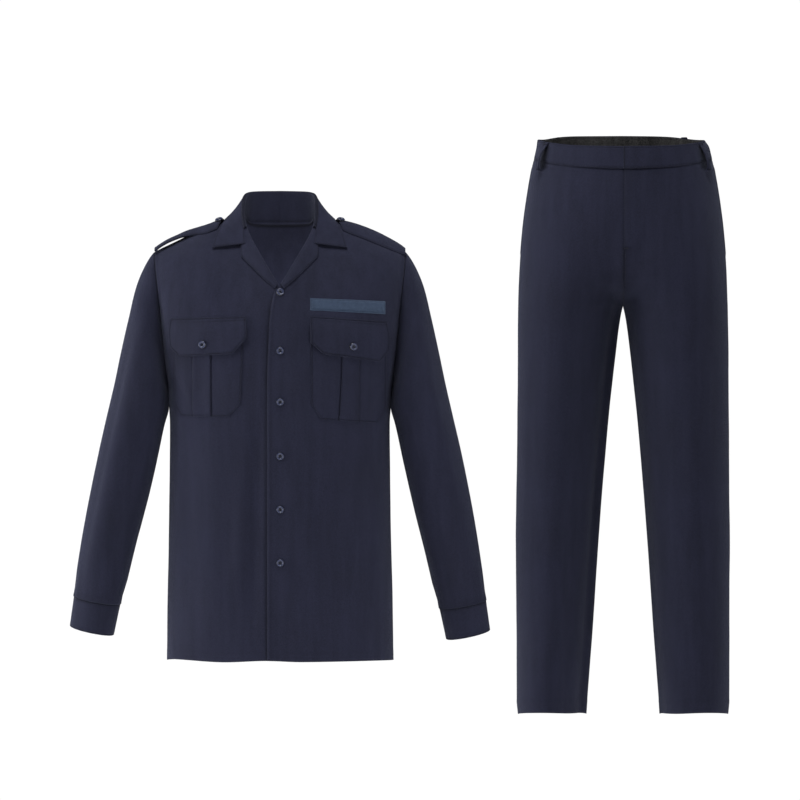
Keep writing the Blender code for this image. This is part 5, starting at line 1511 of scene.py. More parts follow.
def build_tape(material):
    """The bare name tape: a band of pile held by a stitched border."""
    t = np.concatenate([[0.0, 0.03, 0.07, 0.12, 0.18, 0.24], np.linspace(0.32, 0.68, 6), [0.76, 0.82, 0.88, 0.93, 0.97, 1.0]])
    u = np.concatenate([[0.0, 0.005, 0.012, 0.022, 0.034, 0.046], np.linspace(0.06, 0.94, 60),
                        [0.954, 0.966, 0.978, 0.988, 0.995, 1.0]])
    x, z = patch_grid(TAPE, t, u, True)
    outline = [(TAPE[0, 2], TAPE[0, 0]), (TAPE[0, 3], TAPE[0, 1]), (TAPE[1, 3], TAPE[1, 1]), (TAPE[1, 2], TAPE[1, 0])]
    d = polygon_gap(x, z, outline)
    lift = 1.9 + 0.9 * ease((d - 2.0) / 1.6) - 0.5 * np.exp(-((d - 1.7) / 0.6) ** 2) - 0.5 * np.exp(-(d / 0.6) ** 2)
    lift = lift + 0.16 * np.sin(x * 2.1 + 0.7 * np.sin(z * 1.3)) * np.sin(z * 2.3) * ease((d - 3.0) / 1.0)
    p, n = on_front(x, z, lift, True)
    p = p + n * unevenness(p, 8.0, 0.25)[..., None]
    item = cloth_piece("name_tape_cloth", [thick(p, 1.5, n)], material)
    outline_stitches("tape", outline, 1.7, True, 1.0, 1.45)
    return item


def build_lapel(side, material):
    """The facing comes up inside the front, over the roll, and lies back on the chest."""
    upper = side == "left"
    flip = 1.0 if upper else -1.0
    f = np.array([flip, 1.0, 1.0])
    # it goes on upward beneath the collar, to the gorge seam
    t = np.concatenate([[-0.2, -0.192, -0.18, -0.16], np.linspace(-0.13, -0.01, 6), [0.0, 0.018, 0.032],
                        np.linspace(0.05, 0.95, 46), [0.968, 0.982, 0.992, 1.0]])
    rows = rows_at(np.vstack([[60.0, -1.0, 62.5, -15.0, 66.0, -33.0], LAPEL]), (t * 5.0 + 1.0) / 6.0)
    u = np.concatenate([np.linspace(0.02, 0.94, 22), [0.955, 0.968, 0.979, 0.988, 0.995, 1.0]])
    grid, norms, dist = [], [], []
    for k, (rx, rz, mx, mz, ox, oz) in enumerate(rows):
        low = 2.6 if not upper else 1.2
        tt = max(t[k], 0.0)
        roll = np.array([rx, rz])
        mid = np.array([mx, mz])
        out = np.array([ox, oz])
        width = np.linalg.norm(mid - roll) + np.linalg.norm(out - mid)
        away = (mid - roll) / np.linalg.norm(mid - roll)
        squeeze = min(1.0, width / 14.0)
        down = 1.0 - (0.0 if upper else 0.30) * float(ease((tt - 0.6) / 0.4))
        line = []
        # inside the front
        for a in (10.0, 7.5, 5.0, 3.0, 1.4):
            line.append((roll + away * a * squeeze, -3.1))
        for deg in np.linspace(-90.0, 90.0, 13):
            q = math.radians(deg)
            line.append((roll + away * (0.6 - 2.6 * math.cos(q) * (0.55 + 0.45 * squeeze)), -0.5 + 2.6 * math.sin(q) * down))
        bits = []
        for s in u:
            place = roll + (mid - roll) * s / 0.5 if s <= 0.5 else mid + (out - mid) * (s - 0.5) / 0.5
            rise = float(np.interp(s, (0.0, 0.16, 0.5, 1.0), (2.3, 3.0, 3.4, 3.1))) * down
            bits.append(s)
            if s * width > 1.2:
                line.append((place, rise))
            else:
                line.append((roll + away * (0.6 + (s * width)), 2.1 * down + 0.1 * s))
        xz = np.array([p[0] for p in line])
        lift = np.array([p[1] for p in line])
        x = np.maximum(xz[:, 0], low - 3.2 * 0.0)
        if upper:
            x = np.maximum(xz[:, 0], 0.4)
        else:
            x = np.maximum(xz[:, 0], 1.6)
        p, n = on_front(x, xz[:, 1], lift, upper)
        grid.append(p)
        norms.append(n)
    grid = np.array(grid)
    d_out = arc_from(grid, 1, True)
    d_top = arc_from(grid, 0, False)
    d_low = arc_from(grid, 0, True)
    d = np.minimum(d_out, np.minimum(d_top, d_low + 1.0))
    fall = np.zeros(grid.shape[1])
    fall[20:] = 1.0
    press = stitched_edge(d_out, 2.2, 0.35, 0.9, 0.25) * fall[None, :] * ease(d_low / 4.0)
    # a little fuller between the roll and the edge
    whole = arc_from(grid, 1, True)[:, 18:19]
    full = 1.1 * np.sin(np.pi * np.clip(d_out / np.maximum(whole, 1.0), 0.0, 1.0)) * np.clip(whole / 22.0, 0.0, 1.0) * fall[None, :]
    turned = grid_normals(grid)
    if turned[len(t) // 2, -6, 1] > 0.0:
        turned = -turned
    grid = grid + turned * (press + full)[..., None]
    turned = grid_normals(grid)
    if turned[len(t) // 2, -6, 1] > 0.0:
        turned = -turned
    p, n = grid * f, turned * f
    # painted shade along the stitched outer edge
    tone = painted_edge_shade(d_out) * fall[None, :] * ease(d_low / 4.0)
    item = cloth_piece("lapel_%s_cloth" % side, [thick(p, 1.0, n)], material, [tone])
    for target in (2.2,):
        line, nl = [], []
        for r in range(4, len(t) - 4):
            line.append([np.interp(target, d_out[r][::-1], p[r, ::-1, k]) for k in range(3)])
            nl.append([np.interp(target, d_out[r][::-1], n[r, ::-1, k]) for k in range(3)])
        stitch_row("shirt", np.array(line), unit(np.array(nl)))
    return item


def collar_lines(t, fall):
    """Fine sections of the collar, from the seam up the stand, over the roll and down the fall."""
    rows = rows_at(COLLAR, t)
    sections = []
    for row, share in zip(rows, t):
        along, rx, ry, rz, fx, fy, fz = row
        front = along > NECK_X
        x_neck = 2.0 * NECK_X - along if front else along
        z_neck = float(top_limit(front, x_neck))
        y_neck = float(body_y(front, np.array(x_neck), np.array(z_neck))) * (-1.0 if front else 1.0)
        neck = np.array([x_neck, y_neck, z_neck])
        roll = np.array([rx, ry, rz])
        edge = np.array([fx, fy, fz])
        up = unit(roll - neck)
        away = unit(edge - roll)
        out = unit(away - up * np.dot(away, up))
        tuck = 1.0 - float(ease((along - 56.0) / 8.0))
        foot = neck + up * 1.7 - up * 4.0 * tuck
        inward = -out
        height = np.linalg.norm(roll - neck)
        bend = min(3.2, 0.75 * (height - 1.7))
        top = roll - up * bend
        line = []
        for s in STAND_SHARES:
            p = foot * (1.0 - s) + top * s
            rise = np.dot(p - foot, up)
            p = p + inward * tuck * (2.4 * (1.0 - ease(rise / 4.5)) + 0.5 * (1.0 - s))
            line.append(p)
        for angle in np.linspace(15.0, 180.0, 12):
            a = math.radians(angle)
            line.append(top + up * bend * math.sin(a) + out * 3.1 * (1.0 - math.cos(a)))
        start = line[-1]
        bowed = []
        for s in fall:
            p = start * (1.0 - s) + edge * s
            # the leaf stands away a little between the roll and its edge
            p = p + out * 0.3 * math.sin(math.pi * s)
            bowed.append(p)
        sections.append((line, start, edge, out, bowed))
    notch_y = -float(body_y(True, np.array(NOTCH[0]), np.array(NOTCH[1]))) - 7.4
    notch = np.array([NOTCH[0], notch_y, NOTCH[1]])
    _, start, edge, out, straight = sections[-1]
    cut = 0.45
    bent = [start + (notch - start) * s / cut if s <= cut else notch + (edge - notch) * (s - cut) / (1.0 - cut) for s in fall]
    change = np.array(bent) - np.array(straight)
    grid = []
    turn_in = 1.0 - 1.0 / 14.0
    for (line, _, _, _, bowed), share in zip(sections, t):
        w = np.clip((share - turn_in) / (1.0 - turn_in), 0.0, 1.0) ** 1.4
        grid.append(np.array(line + list(np.array(bowed) + change * w)))
    return np.array(grid)


STAND_SHARES = (0.0, 0.02, 0.045, 0.08, 0.13, 0.2, 0.3, 0.42, 0.55, 0.68, 0.8, 0.91, 1.0)


def build_collar(material):
    fall = np.concatenate([np.linspace(0.03, 0.90, 26), [0.925, 0.945, 0.962, 0.976, 0.989, 1.0]])
    t = np.concatenate([np.linspace(0.0, 13.0 / 14.0, 62)[:-1], np.linspace(13.0 / 14.0, 0.985, 12), [0.99, 0.9945, 0.998, 1.0]])
    half = collar_lines(t, fall)
    full = np.concatenate([half[:0:-1] * MIRROR, half])
    first = len(STAND_SHARES) + 12
    normals = grid_normals(full)
    mid = len(half) - 1
    if normals[mid, -2, 1] < 0.0:
        normals = -normals
    d_edge = arc_from(full, 1, True)
    d_end = np.minimum(arc_from(full, 0, False), arc_from(full, 0, True))
    d_foot = arc_from(full, 1, False)
    leaf = np.zeros(full.shape[1])
    leaf[first:] = 1.0
    leaf = leaf[None, :]
    d = np.minimum(d_edge, d_end)
    h = stitched_edge(d, 2.2, 0.32, 0.9, 0.22) * leaf
    h = h - 0.22 * np.exp(-((d_foot - 8.2) / 0.9) ** 2)
    h = h + unevenness(full, 9.0, 0.30) * ease(d_foot / 12.0)
    full = full + normals * h[..., None]
    normals = grid_normals(full)
    if normals[mid, -2, 1] < 0.0:
        normals = -normals
    # painted shade: along the leaf's edges, beneath the stand's foot and its row of stitching, and darker towards the
    # stand's sides
    clear = ease((d_end - 42.0) / 24.0)
    tone = painted_edge_shade(d) * leaf + (0.35 * beside(d_foot - 8.2, 0.9) + 1.6 * beside(d_foot, 1.4)) * clear
    tone = tone + (0.2 + 0.7 * ease((np.abs(full[..., 0]) - 46.0) / 18.0)) * (1.0 - leaf)
    item = cloth_piece("collar_cloth", [thick(full, 1.4, normals)], material, [tone], 0.8)
    rows = range(2, len(full) - 2)
    line, nl = [], []
    for r in rows:
        line.append([np.interp(2.2, d_edge[r][::-1], full[r, ::-1, k]) for k in range(3)])
        nl.append([np.interp(2.2, d_edge[r][::-1], normals[r, ::-1, k]) for k in range(3)])
    stitch_row("shirt", np.array(line), unit(np.array(nl)))
    line, nl = [], []
    for r in rows:
        line.append([np.interp(8.2, d_foot[r], full[r, :, k]) for k in range(3)])
        nl.append([np.interp(8.2, d_foot[r], normals[r, :, k]) for k in range(3)])
    stitch_row("shirt", np.array(line)[18:-18], unit(np.array(nl))[18:-18])
    for end in (True, False):
        run = arc_from(full, 0, end)
        line, nl = [], []
        for c in range(first + 1, full.shape[1] - 3):
            order = slice(None, None, -1) if end else slice(None)
            line.append([np.interp(2.2, run[order, c], full[order, c, k]) for k in range(3)])
            nl.append([np.interp(2.2, run[order, c], normals[order, c, k]) for k in range(3)])
        stitch_row("shirt", np.array(line), unit(np.array(nl)))
    return item


def build_strap(side, material):
    upper = side == "left"
    flip = 1.0 if upper else -1.0
    f = np.array([flip, 1.0, 1.0])
    table = STRAP_LEFT if upper else STRAP_RIGHT
    # v spaced by the width, close near the edges
    v = np.concatenate([[-1.0, -0.994, -0.984, -0.97, -0.95, -0.925], np.linspace(-0.89, 0.89, 34),
                        [0.925, 0.95, 0.97, 0.984, 0.994, 1.0]])
    start = np.interp(v, (-1.0, -0.5, 0.0, 0.5, 1.0), STRAP_START)
    t = np.concatenate([[0.0, 0.006, 0.014, 0.025, 0.04], np.linspace(0.06, 0.95, 44), [0.965, 0.978, 0.989, 1.0]])[:, None]
    x = start[None, :] * (1.0 - t) + STRAP_END * t
    base = strap_surface(table, x, v[None, :] + 0.0 * x)
    normals = grid_normals(base)
    if normals[10, 20, 2] < 0.0:
        normals = -normals
    d = np.minimum(np.minimum(arc_from(base, 0, False), arc_from(base, 0, True) + 6.0),
                   np.minimum(arc_from(base, 1, False), arc_from(base, 1, True)))
    h = stitched_edge(d, 2.2, 0.35, 0.9, 0.22) + unevenness(base * f, 5.0, 0.25)
    base = base + normals * (h - 0.25)[..., None]
    p, n = base * f, normals * f
    # painted shade along the edges and rows of stitching
    item = cloth_piece("epaulette_%s_cloth" % side, [thick(p, 1.6, n)], material, [painted_edge_shade(d)])
    for end in (False, True):
        run = arc_from(base, 1, end)
        line, nl = [], []
        for r in range(3, len(t) - 2):
            order = slice(None, None, -1) if end else slice(None)
            line.append([np.interp(2.2, run[r, order], p[r, order, k]) for k in range(3)])
            nl.append([np.interp(2.2, run[r, order], n[r, order, k]) for k in range(3)])
        stitch_row("shirt", np.array(line), unit(np.array(nl)))
    return item


# ---------------------------------------------------------------- trousers

SHIFT = np.array([TROUSER_X, 0.0, 0.0])


def trouser_grid(front, side):
    low = np.concatenate([[-857.0, -856.2, -855.0, -853.2], np.arange(-850.0, -152.0, 5.0), [-148.6, -146.0, -144.2, -143.0]])
    mid = np.concatenate([[-142.0, -140.4, -138.2, -135.6], np.arange(-132.0, -31.0, 3.6)])
    rise = np.linspace(0.0, 1.0, 34)
    shares = np.concatenate([[0.0, 0.02, 0.045, 0.075], np.linspace(0.105, 0.93, 38), [0.955, 0.975, 0.99, 1.0]])
    n = len(low) + len(mid) + len(rise) + 1
    grid = np.zeros((n, len(shares), 3))
    for c, share in enumerate(shares):
        turn = float(waist_turn(share))
        turn = turn if front else 180.0 - turn
        seam_z = float(waist_at(turn, 1))
        z = np.concatenate([low, mid, -30.0 + rise * (seam_z + 30.0), [seam_z + 3.0]])
        x, y, _ = leg_ring(front, z, share)
        grid[:, c] = np.stack([x, y, z], axis=-1)
    return grid, len(low), shares


def build_trouser_panel(front, side, creases, material):
    flip = 1.0 if side == "left" else -1.0
    f = np.array([flip, 1.0, 1.0])
    base, crotch, shares = trouser_grid(front, side)
    crotch -= 1
    normals = grid_normals(base)
    if normals[30, 20, 1] * (1.0 if front else -1.0) > 0.0:
        normals = -normals
    normals[:, -1, 1] = 0.0
    normals[crotch + 1:, 0, 0] = 0.0
    normals[:crotch, 0, 1] = 0.0
    normals = unit(normals)
    normals[crotch, 0] = (0.0, 0.0, -1.0)
    world, wn = base * f, normals * f
    z, x = base[..., 2], base[..., 0]
    d_out = arc_from(base, 1, True)
    d_in = arc_from(base, 1, False)
    h = crease_height(world.reshape(-1, 3), wn.reshape(-1, 3), creases).reshape(x.shape)
    h = h + unevenness(world, 3.0, 0.6)
    if front:
        # the pressed fronts fall away from their outer side, more on the wearer's right leg
        down = ease((20.0 - z) / 260.0)
        across = (x - base[:, :1, 0]) / (base[:, -1:, 0] - base[:, :1, 0])
        slope = (13.5 if side == "right" else 4.0) * down
        h = h - slope * ease((0.72 - across) / 0.62) * (1.0 - np.exp(-(d_in / 12.0) ** 2))
        if side == "right":
            h = h - 2.4 * down * np.exp(-((across - 0.30) / 0.16) ** 2) * (1.0 - np.exp(-(d_in / 12.0) ** 2))
    seam_z = base[-2, :, 2][None, :]
    to_waist = seam_z - z
    h = h * ease(to_waist / 14.0)
    # folds calm down towards the seams they are sewn into
    h = h * (1.0 - 0.55 * np.exp(-(d_in / 9.0) ** 2))
    near = np.exp(-np.sum((base - base[crotch, 0]) ** 2, axis=-1) / 20.0 ** 2)
    h = h * (1.0 - near)
    h = h + 0.8 * (1.0 - np.exp(-(d_out / 1.4) ** 2)) - 0.8
    seat = 1.0 - (0.45 * ease((z - CROTCH_Z) / 12.0) if front else 0.0)
    h = h + 0.8 * (1.0 - np.exp(-(d_in / 1.4) ** 2)) * seat
    h = h - 1.1 * ease((z - (seam_z - 1.0)) / 1.5)
    d_low = arc_from(base, 0, False)
    h = h + 0.25 * (1.0 - ease((d_low - 22.0) / 1.8))
    if front:
        # the fly: the wearer's left side laps over the right
        up = ease((z + 50.0) / 7.0)
        if side == "left":
            h = h + up * 1.7 * (1.0 - ease((x - 12.0) / 22.0))
            h = h - up * 0.5 * np.exp(-(d_in / 1.1) ** 2)
        else:
            h = h - up * 0.5 * (1.0 - ease((x - 6.0) / 20.0))
        # slanting side pocket: its front edge stands a little open
        slot = 160.0 - 0.115 * (100.0 - z)
        inside = ease((z + 62.0) / 10.0) * ease((101.0 - z) / 6.0)
        edge_x = x - (base[:, -1:, 0] - 9.0 + 3.5 * ease((z - 10.0) / 90.0) * 0.0)
        h = h + inside * 1.3 * np.exp(-(np.clip(d_out - 5.0, 0.0, None) / 6.0) ** 2) * (d_out > 4.2)
        h = h - inside * 1.1 * np.exp(-(np.clip(4.2 - d_out, 0.0, None) / 2.2) ** 2) * (d_out <= 4.2)
        h = h - inside * 0.4 * np.exp(-((d_out - 11.0) / 1.0) ** 2)
    else:
        # welted hip pocket
        px, pz = x - 88.0, z - 38.0
        box = np.maximum(np.abs(px) - 62.0, np.abs(pz) - 6.0)
        h = h + 0.5 * (1.0 - ease((box + 1.0) / 1.4))
        h = h - 1.0 * np.exp(-(pz / 0.9) ** 2) * (np.abs(px) < 61.0)
        # dart above the pocket
        h = h - 0.4 * np.exp(-((x - 88.0) / 1.3) ** 2) * ease((z - 44.0) / 6.0) * ease((seam_z - z) / 4.0 + 0.4)
    points = world + wn * h[..., None]
    wave = (1.0 - ease((z + 857.0) / 120.0))
    points[..., 2] += wave * (1.1 * np.sin(x / 21.0 + (1.0 if front else 2.6)) + (0.8 if front else -0.6))
    if front and side == "right":
        # the under side of the fly reaches behind the upper one
        up1 = ease((z[:, 0] + 46.0) / 4.0)
        points[:, 0, 0] += 4.0 * up1
        points[:, 1, 0] += 3.4 * up1
        points[:, 2, 0] += 2.6 * up1
        points[:, 3, 0] += 1.6 * up1
    wall = thick(points, 1.15, wn, closed=False, round_sides="bl" if front and side == "left" else "b")
    name = "trouser_%s_%s_cloth" % ("front" if front else "back", side)
    v, fc, w, s = wall
    rise = ease((z - CROTCH_Z) / 12.0)
    # painted shade along the side and inside seams, under the waistband and at the hem fold
    tone = 0.6 * beside(d_out, 1.3) + (0.4 + (0.1 if front else 0.5) * rise) * beside(d_in, 1.3)
    tone = tone + 0.5 * ease((z - (seam_z - 1.1)) / 1.2)
    tone = tone + 0.1 * beside(d_low - 22.4, 1.0)
    if front:
        # painted shade in the side pocket's opening
        tone = tone + 0.8 * inside * beside(d_out - 4.2, 1.3)
        if side == "right":
            # painted shade beside the fly's lapped edge
            tone = tone + 0.95 * up * beside(x - 0.4, 2.0)
        # in the shade of the belt loop
        hold = waist_point(np.array([62.0]), np.array([float(waist_at(62.0, 1))]), 0.0).ravel()[0]
        tone = tone + 1.3 * np.exp(-((x - (abs(hold) + 0.5)) / 6.0) ** 4) * ease((z - (seam_z - 13.0)) / 4.0)
        # painted shade where the two halves pull against each other beneath the fly
        tone = tone + 0.25 * rise * beside(d_in, 6.0) * (1.0 - ease((z + 58.0) / 30.0))
    else:
        # painted shade in the welt of the hip pocket
        tone = tone + 0.8 * beside(pz, 0.9) * (np.abs(px) < 61.0) + 0.35 * beside(np.abs(pz) - 6.0, 0.9) * (np.abs(px) < 61.0)
    item = cloth_piece(name, [(v + SHIFT, fc, w, s)], material, [tone])

    def row_at(target, run, a, b, end):
        line, nl = [], []
        for r in range(a, b):
            order = slice(None, None, -1) if end else slice(None)
            line.append([np.interp(target, run[r, order], points[r, order, k]) for k in range(3)])
            nl.append([np.interp(target, run[r, order], wn[r, order, k]) for k in range(3)])
        stitch_row("trousers", np.array(line) + SHIFT, unit(np.array(nl)))
    top = len(points) - 3
    if front:
        a = int(np.argmin(np.abs(z[:, -1] + 60.0)))
        b = int(np.argmin(np.abs(z[:, -1] - 100.0)))
        row_at(11.0, d_out, a, b, True)
    row_at(2.4, d_in, crotch + 8, len(points) - 40 if front else top, False)
    if not front:
        row_at(2.4, d_out, 6, top, True)
    return item


def bar_tack(centre, along, n, length, width):
    """A short dense row of stitches across the end of an opening."""
    along, n = unit(np.asarray(along, dtype=float)), unit(np.asarray(n, dtype=float))
    side = unit(np.cross(n, along))
    count = int(length / 0.75)
    for k in range(count):
        s = (k + 0.5) / count - 0.5
        p = np.asarray(centre) + along * s * length
        path = np.array([p - side * width / 2.0, p, p + side * width / 2.0]) + n * 0.25
        stitch_row("trousers", path, np.array([n, n, n]), pitch=width * 0.99, length=width, radius=0.3)


def back_dip(signed):
    """How far the top of the waistband hangs lower behind the hips."""
    return 2.6 * beside(signed + 114.0, 15.0) + 3.8 * beside(signed - 122.0, 23.0)


def side_roll(signed, d_up):
    """How far the top edge of the waistband leans in over the wearer's left hip."""
    return 6.0 * beside(signed - 90.0, 22.0)[None, :] * beside(d_up, 8.0)


def build_waistband(material, lining_material):
    def turn_of(x):
        return math.copysign(math.degrees(math.asin((abs(x) / 150.0) ** (LEG_POWER / 2.0))), x)
    near = [turn_of(x) for x in (-0.5, 0.2, 1.2, 2.4, 4.0, 6.2, 9.0, 12.0)]
    far = [360.0 + turn_of(x) for x in (-12.0, -9.0, -6.0, -3.0, 0.0, 3.0, 5.0, 6.4, 7.2, 7.8)]
    angles = np.concatenate([near, np.linspace(near[-1] + 1.4, far[0] - 1.4, 232), far])
    signed = np.where(angles > 180.0, angles - 360.0, angles)
    low, high = waist_at(signed, 1), waist_at(signed, 2) - back_dip(signed)
    t = np.concatenate([[0.0, 0.015, 0.035, 0.06, 0.09], np.linspace(0.13, 0.87, 13), [0.91, 0.94, 0.965, 0.985, 1.0]])
    rows = []
    for s in t:
        rows.append(waist_point(angles, low * (1.0 - s) + high * s, 0.4))
    band = np.stack(rows)
    normals = grid_normals(band)
    middle = len(angles) // 2
    if normals[8, middle, 1] < 0.0:
        normals = -normals
    d_low, d_up = arc_from(band, 0, False), arc_from(band, 0, True)
    d_a, d_b = arc_from(band, 1, False), arc_from(band, 1, True)
    d = np.minimum(np.minimum(d_low, d_up), np.minimum(d_a, d_b))
    h = stitched_edge(d, 2.2, 0.35, 0.9, 0.2) + unevenness(band, 10.0, 0.5) - side_roll(signed, d_up)
    h = h - 0.25 * np.exp(-(d_up / 1.2) ** 2)
    # its wearer's left end laps over the right end
    h = h + 1.7 * (1.0 - ease((d_a - 14.0) / 26.0)) - 0.9 * (1.0 - ease((d_b - 14.0) / 24.0))
    # held in beneath the belt loops
    for a in LOOP_ANGLES:
        gap = (signed - a + 180.0) % 360.0 - 180.0
        h = h - 0.5 * np.exp(-(gap / 4.0) ** 2)[None, :]
    points = band + normals * h[..., None]
    v, f, w, s = thick(points, 1.7, normals, closed=False)
    # painted shade along the edges, the waist seam and the lapped end
    tone = 0.6 * painted_edge_shade(d) + 0.4 * beside(d_low, 0.8) + 1.0 * beside(d_a, 1.3)
    # painted shadow of each belt loop on the band
    for a in LOOP_ANGLES:
        gap = (signed - a + 180.0) % 360.0 - 180.0
        if abs(a) < 90.0:
            tone = tone + 1.3 * np.exp(-((gap - math.copysign(1.2, a)) / 4.4) ** 4)[None, :]
        else:
            tone = tone + 0.5 * beside(gap, 3.4)[None, :]
    item = cloth_piece("waistband_cloth", [(v + SHIFT, f, w, s)], material, [tone])
    for target, run in ((2.2, d_low), (2.2, d_up)):
        line, nl = [], []
        for c in range(4, len(angles) - 4):
            order = np.argsort(run[:, c])
            line.append([np.interp(target, run[order, c], points[order, c, k]) for k in range(3)])
            nl.append([np.interp(target, run[order, c], normals[order, c, k]) for k in range(3)])
        stitch_row("trousers", np.array(line) + SHIFT, unit(np.array(nl)))

    turn = np.concatenate([[90.0, 90.4, 91.0, 92.0], np.linspace(93.2, 266.8, 150), [268.0, 269.0, 269.6, 270.0]])
    signed = np.where(turn > 180.0, turn - 360.0, turn)
    low, high = waist_at(signed, 1) + 1.0, waist_at(signed, 2) - 1.5 - back_dip(signed)
    t = np.concatenate([[0.0, 0.02, 0.045, 0.08], np.linspace(0.13, 0.87, 16), [0.92, 0.955, 0.98, 1.0]])
    inner = np.stack([waist_point(signed, low * (1.0 - s) + high * s, -2.5) for s in t])
    normals = grid_normals(inner)
    if normals[8, 60, 1] < 0.0:
        normals = -normals
    d_low, d_up = arc_from(inner, 0, False), arc_from(inner, 0, True)
    gap = np.abs(turn - 180.0)[None, :] * 2.1
    h = 0.35 * np.sin(turn[None, :] / 2.3) * np.sin(np.array(t)[:, None] * math.pi) + unevenness(inner, 12.0, 0.5)
    h = h + 0.5 * np.exp(-(gap / 1.2) ** 2) - 0.3 * np.exp(-((gap - 4.0) / 1.0) ** 2)
    h = h + 0.35 * np.exp(-((d_up - 3.0) / 1.0) ** 2) + 0.25 * np.exp(-((d_low - 4.0) / 1.2) ** 2)
    h = h * (0.3 + 0.7 * ease(np.minimum(d_low, d_up) / 4.0))
    points = inner + normals * (np.clip(h, -1.0, 1.0) - side_roll(signed, d_up))[..., None]
    v, f, w, s = thick(points, 1.0, normals, closed=False)
    lining = cloth_piece("waistband_lining_cloth", [(v + SHIFT, f, w, s)], lining_material)
    return item, lining


FRONT_LOOP = np.array([(0.0, 0.7), (0.08, 2.4), (0.22, 5.6), (0.38, 8.8), (0.55, 9.8), (0.8, 9.2), (0.93, 6.6), (1.0, 0.9)])


def build_belt_loop(k, angle, material):
    wide = 12.0
    span = math.degrees(wide / 2.0 / 150.0)
    if abs(angle) > 100.0 or abs(angle) < 40.0:
        span = math.degrees(wide / 2.0 / 125.0)
    top = float(waist_at(angle, 2)) - 0.5
    foot = float(waist_at(angle, 1)) - (16.0 if abs(angle) < 90.0 else 11.0)
    t = np.concatenate([np.linspace(0.0, 1.0, 49)])
    z = top * (1.0 - t) + foot * t
    shares = np.concatenate([[-1.0, -0.94, -0.86, -0.74, -0.6], np.linspace(-0.4, 0.4, 7), [0.6, 0.74, 0.86, 0.94, 1.0]])
    grid = np.stack([waist_point(np.full(len(t), angle + s * span), z, 0.0) for s in shares], axis=1)
    n = waist_point(np.full(len(t), angle), z, 1.0) - waist_point(np.full(len(t), angle), z, 0.0)
    n[:, 2] = 0.0
    n = unit(n)
    table = FRONT_LOOP if abs(angle) < 90.0 else LOOP
    off = smooth(t, table[:, 0], table[:, 1]) * (0.82 if angle == 62.0 else 1.0) + 1.9
    # the two front loops stand open towards the front
    twist = {62.0: -1.2, -62.0: 2.4}.get(angle, 0.0)
    lean = np.array(shares)[None, :] * twist * np.sin(np.pi * t)[:, None] ** 0.7
    grid = grid + n[:, None, :] * (off[:, None] + lean)[..., None]
    if abs(angle) < 90.0:
        grid[..., 0] += math.copysign(1.0, angle) * (2.4 * t - 1.2)[:, None]
    normals = grid_normals(grid)
    if np.dot(normals[20, 6], n[20]) < 0.0:
        normals = -normals
    d = np.minimum(arc_from(grid, 1, False), arc_from(grid, 1, True))
    h = stitched_edge(d, 1.9, 0.3, 0.7, 0.15) - 0.35 * np.exp(-((np.minimum(t, 1.0 - t)[:, None] - 0.06) / 0.02) ** 2)
    grid = grid + normals * h[..., None]
    v, f, w, s = thick(grid, 1.4, normals)
    # painted shade along the loop's edges and rims
    item = cloth_piece("belt_loop_%d_cloth" % k, [(v + SHIFT, f, w, s)], material, [0.3 * painted_edge_shade(d, 1.9)], 0.15)
    for c_run in (False, True):
        run = arc_from(grid, 1, c_run)
        line, nl = [], []
        for r in range(2, len(t) - 2):
            order = slice(None, None, -1) if c_run else slice(None)
            line.append([np.interp(1.9, run[r, order], grid[r, order, q]) for q in range(3)])
            nl.append([np.interp(1.9, run[r, order], normals[r, order, q]) for q in range(3)])
        stitch_row("trousers", np.array(line) + SHIFT, unit(np.array(nl)))
    for r in (3, len(t) - 4):
        c = len(shares) // 2
        across = grid[r, -1] - grid[r, 0]
        bar_tack(grid[r, c] + SHIFT, across, normals[r, c], wide - 1.5, 1.8)
    return item


# ---------------------------------------------------------------- buttons

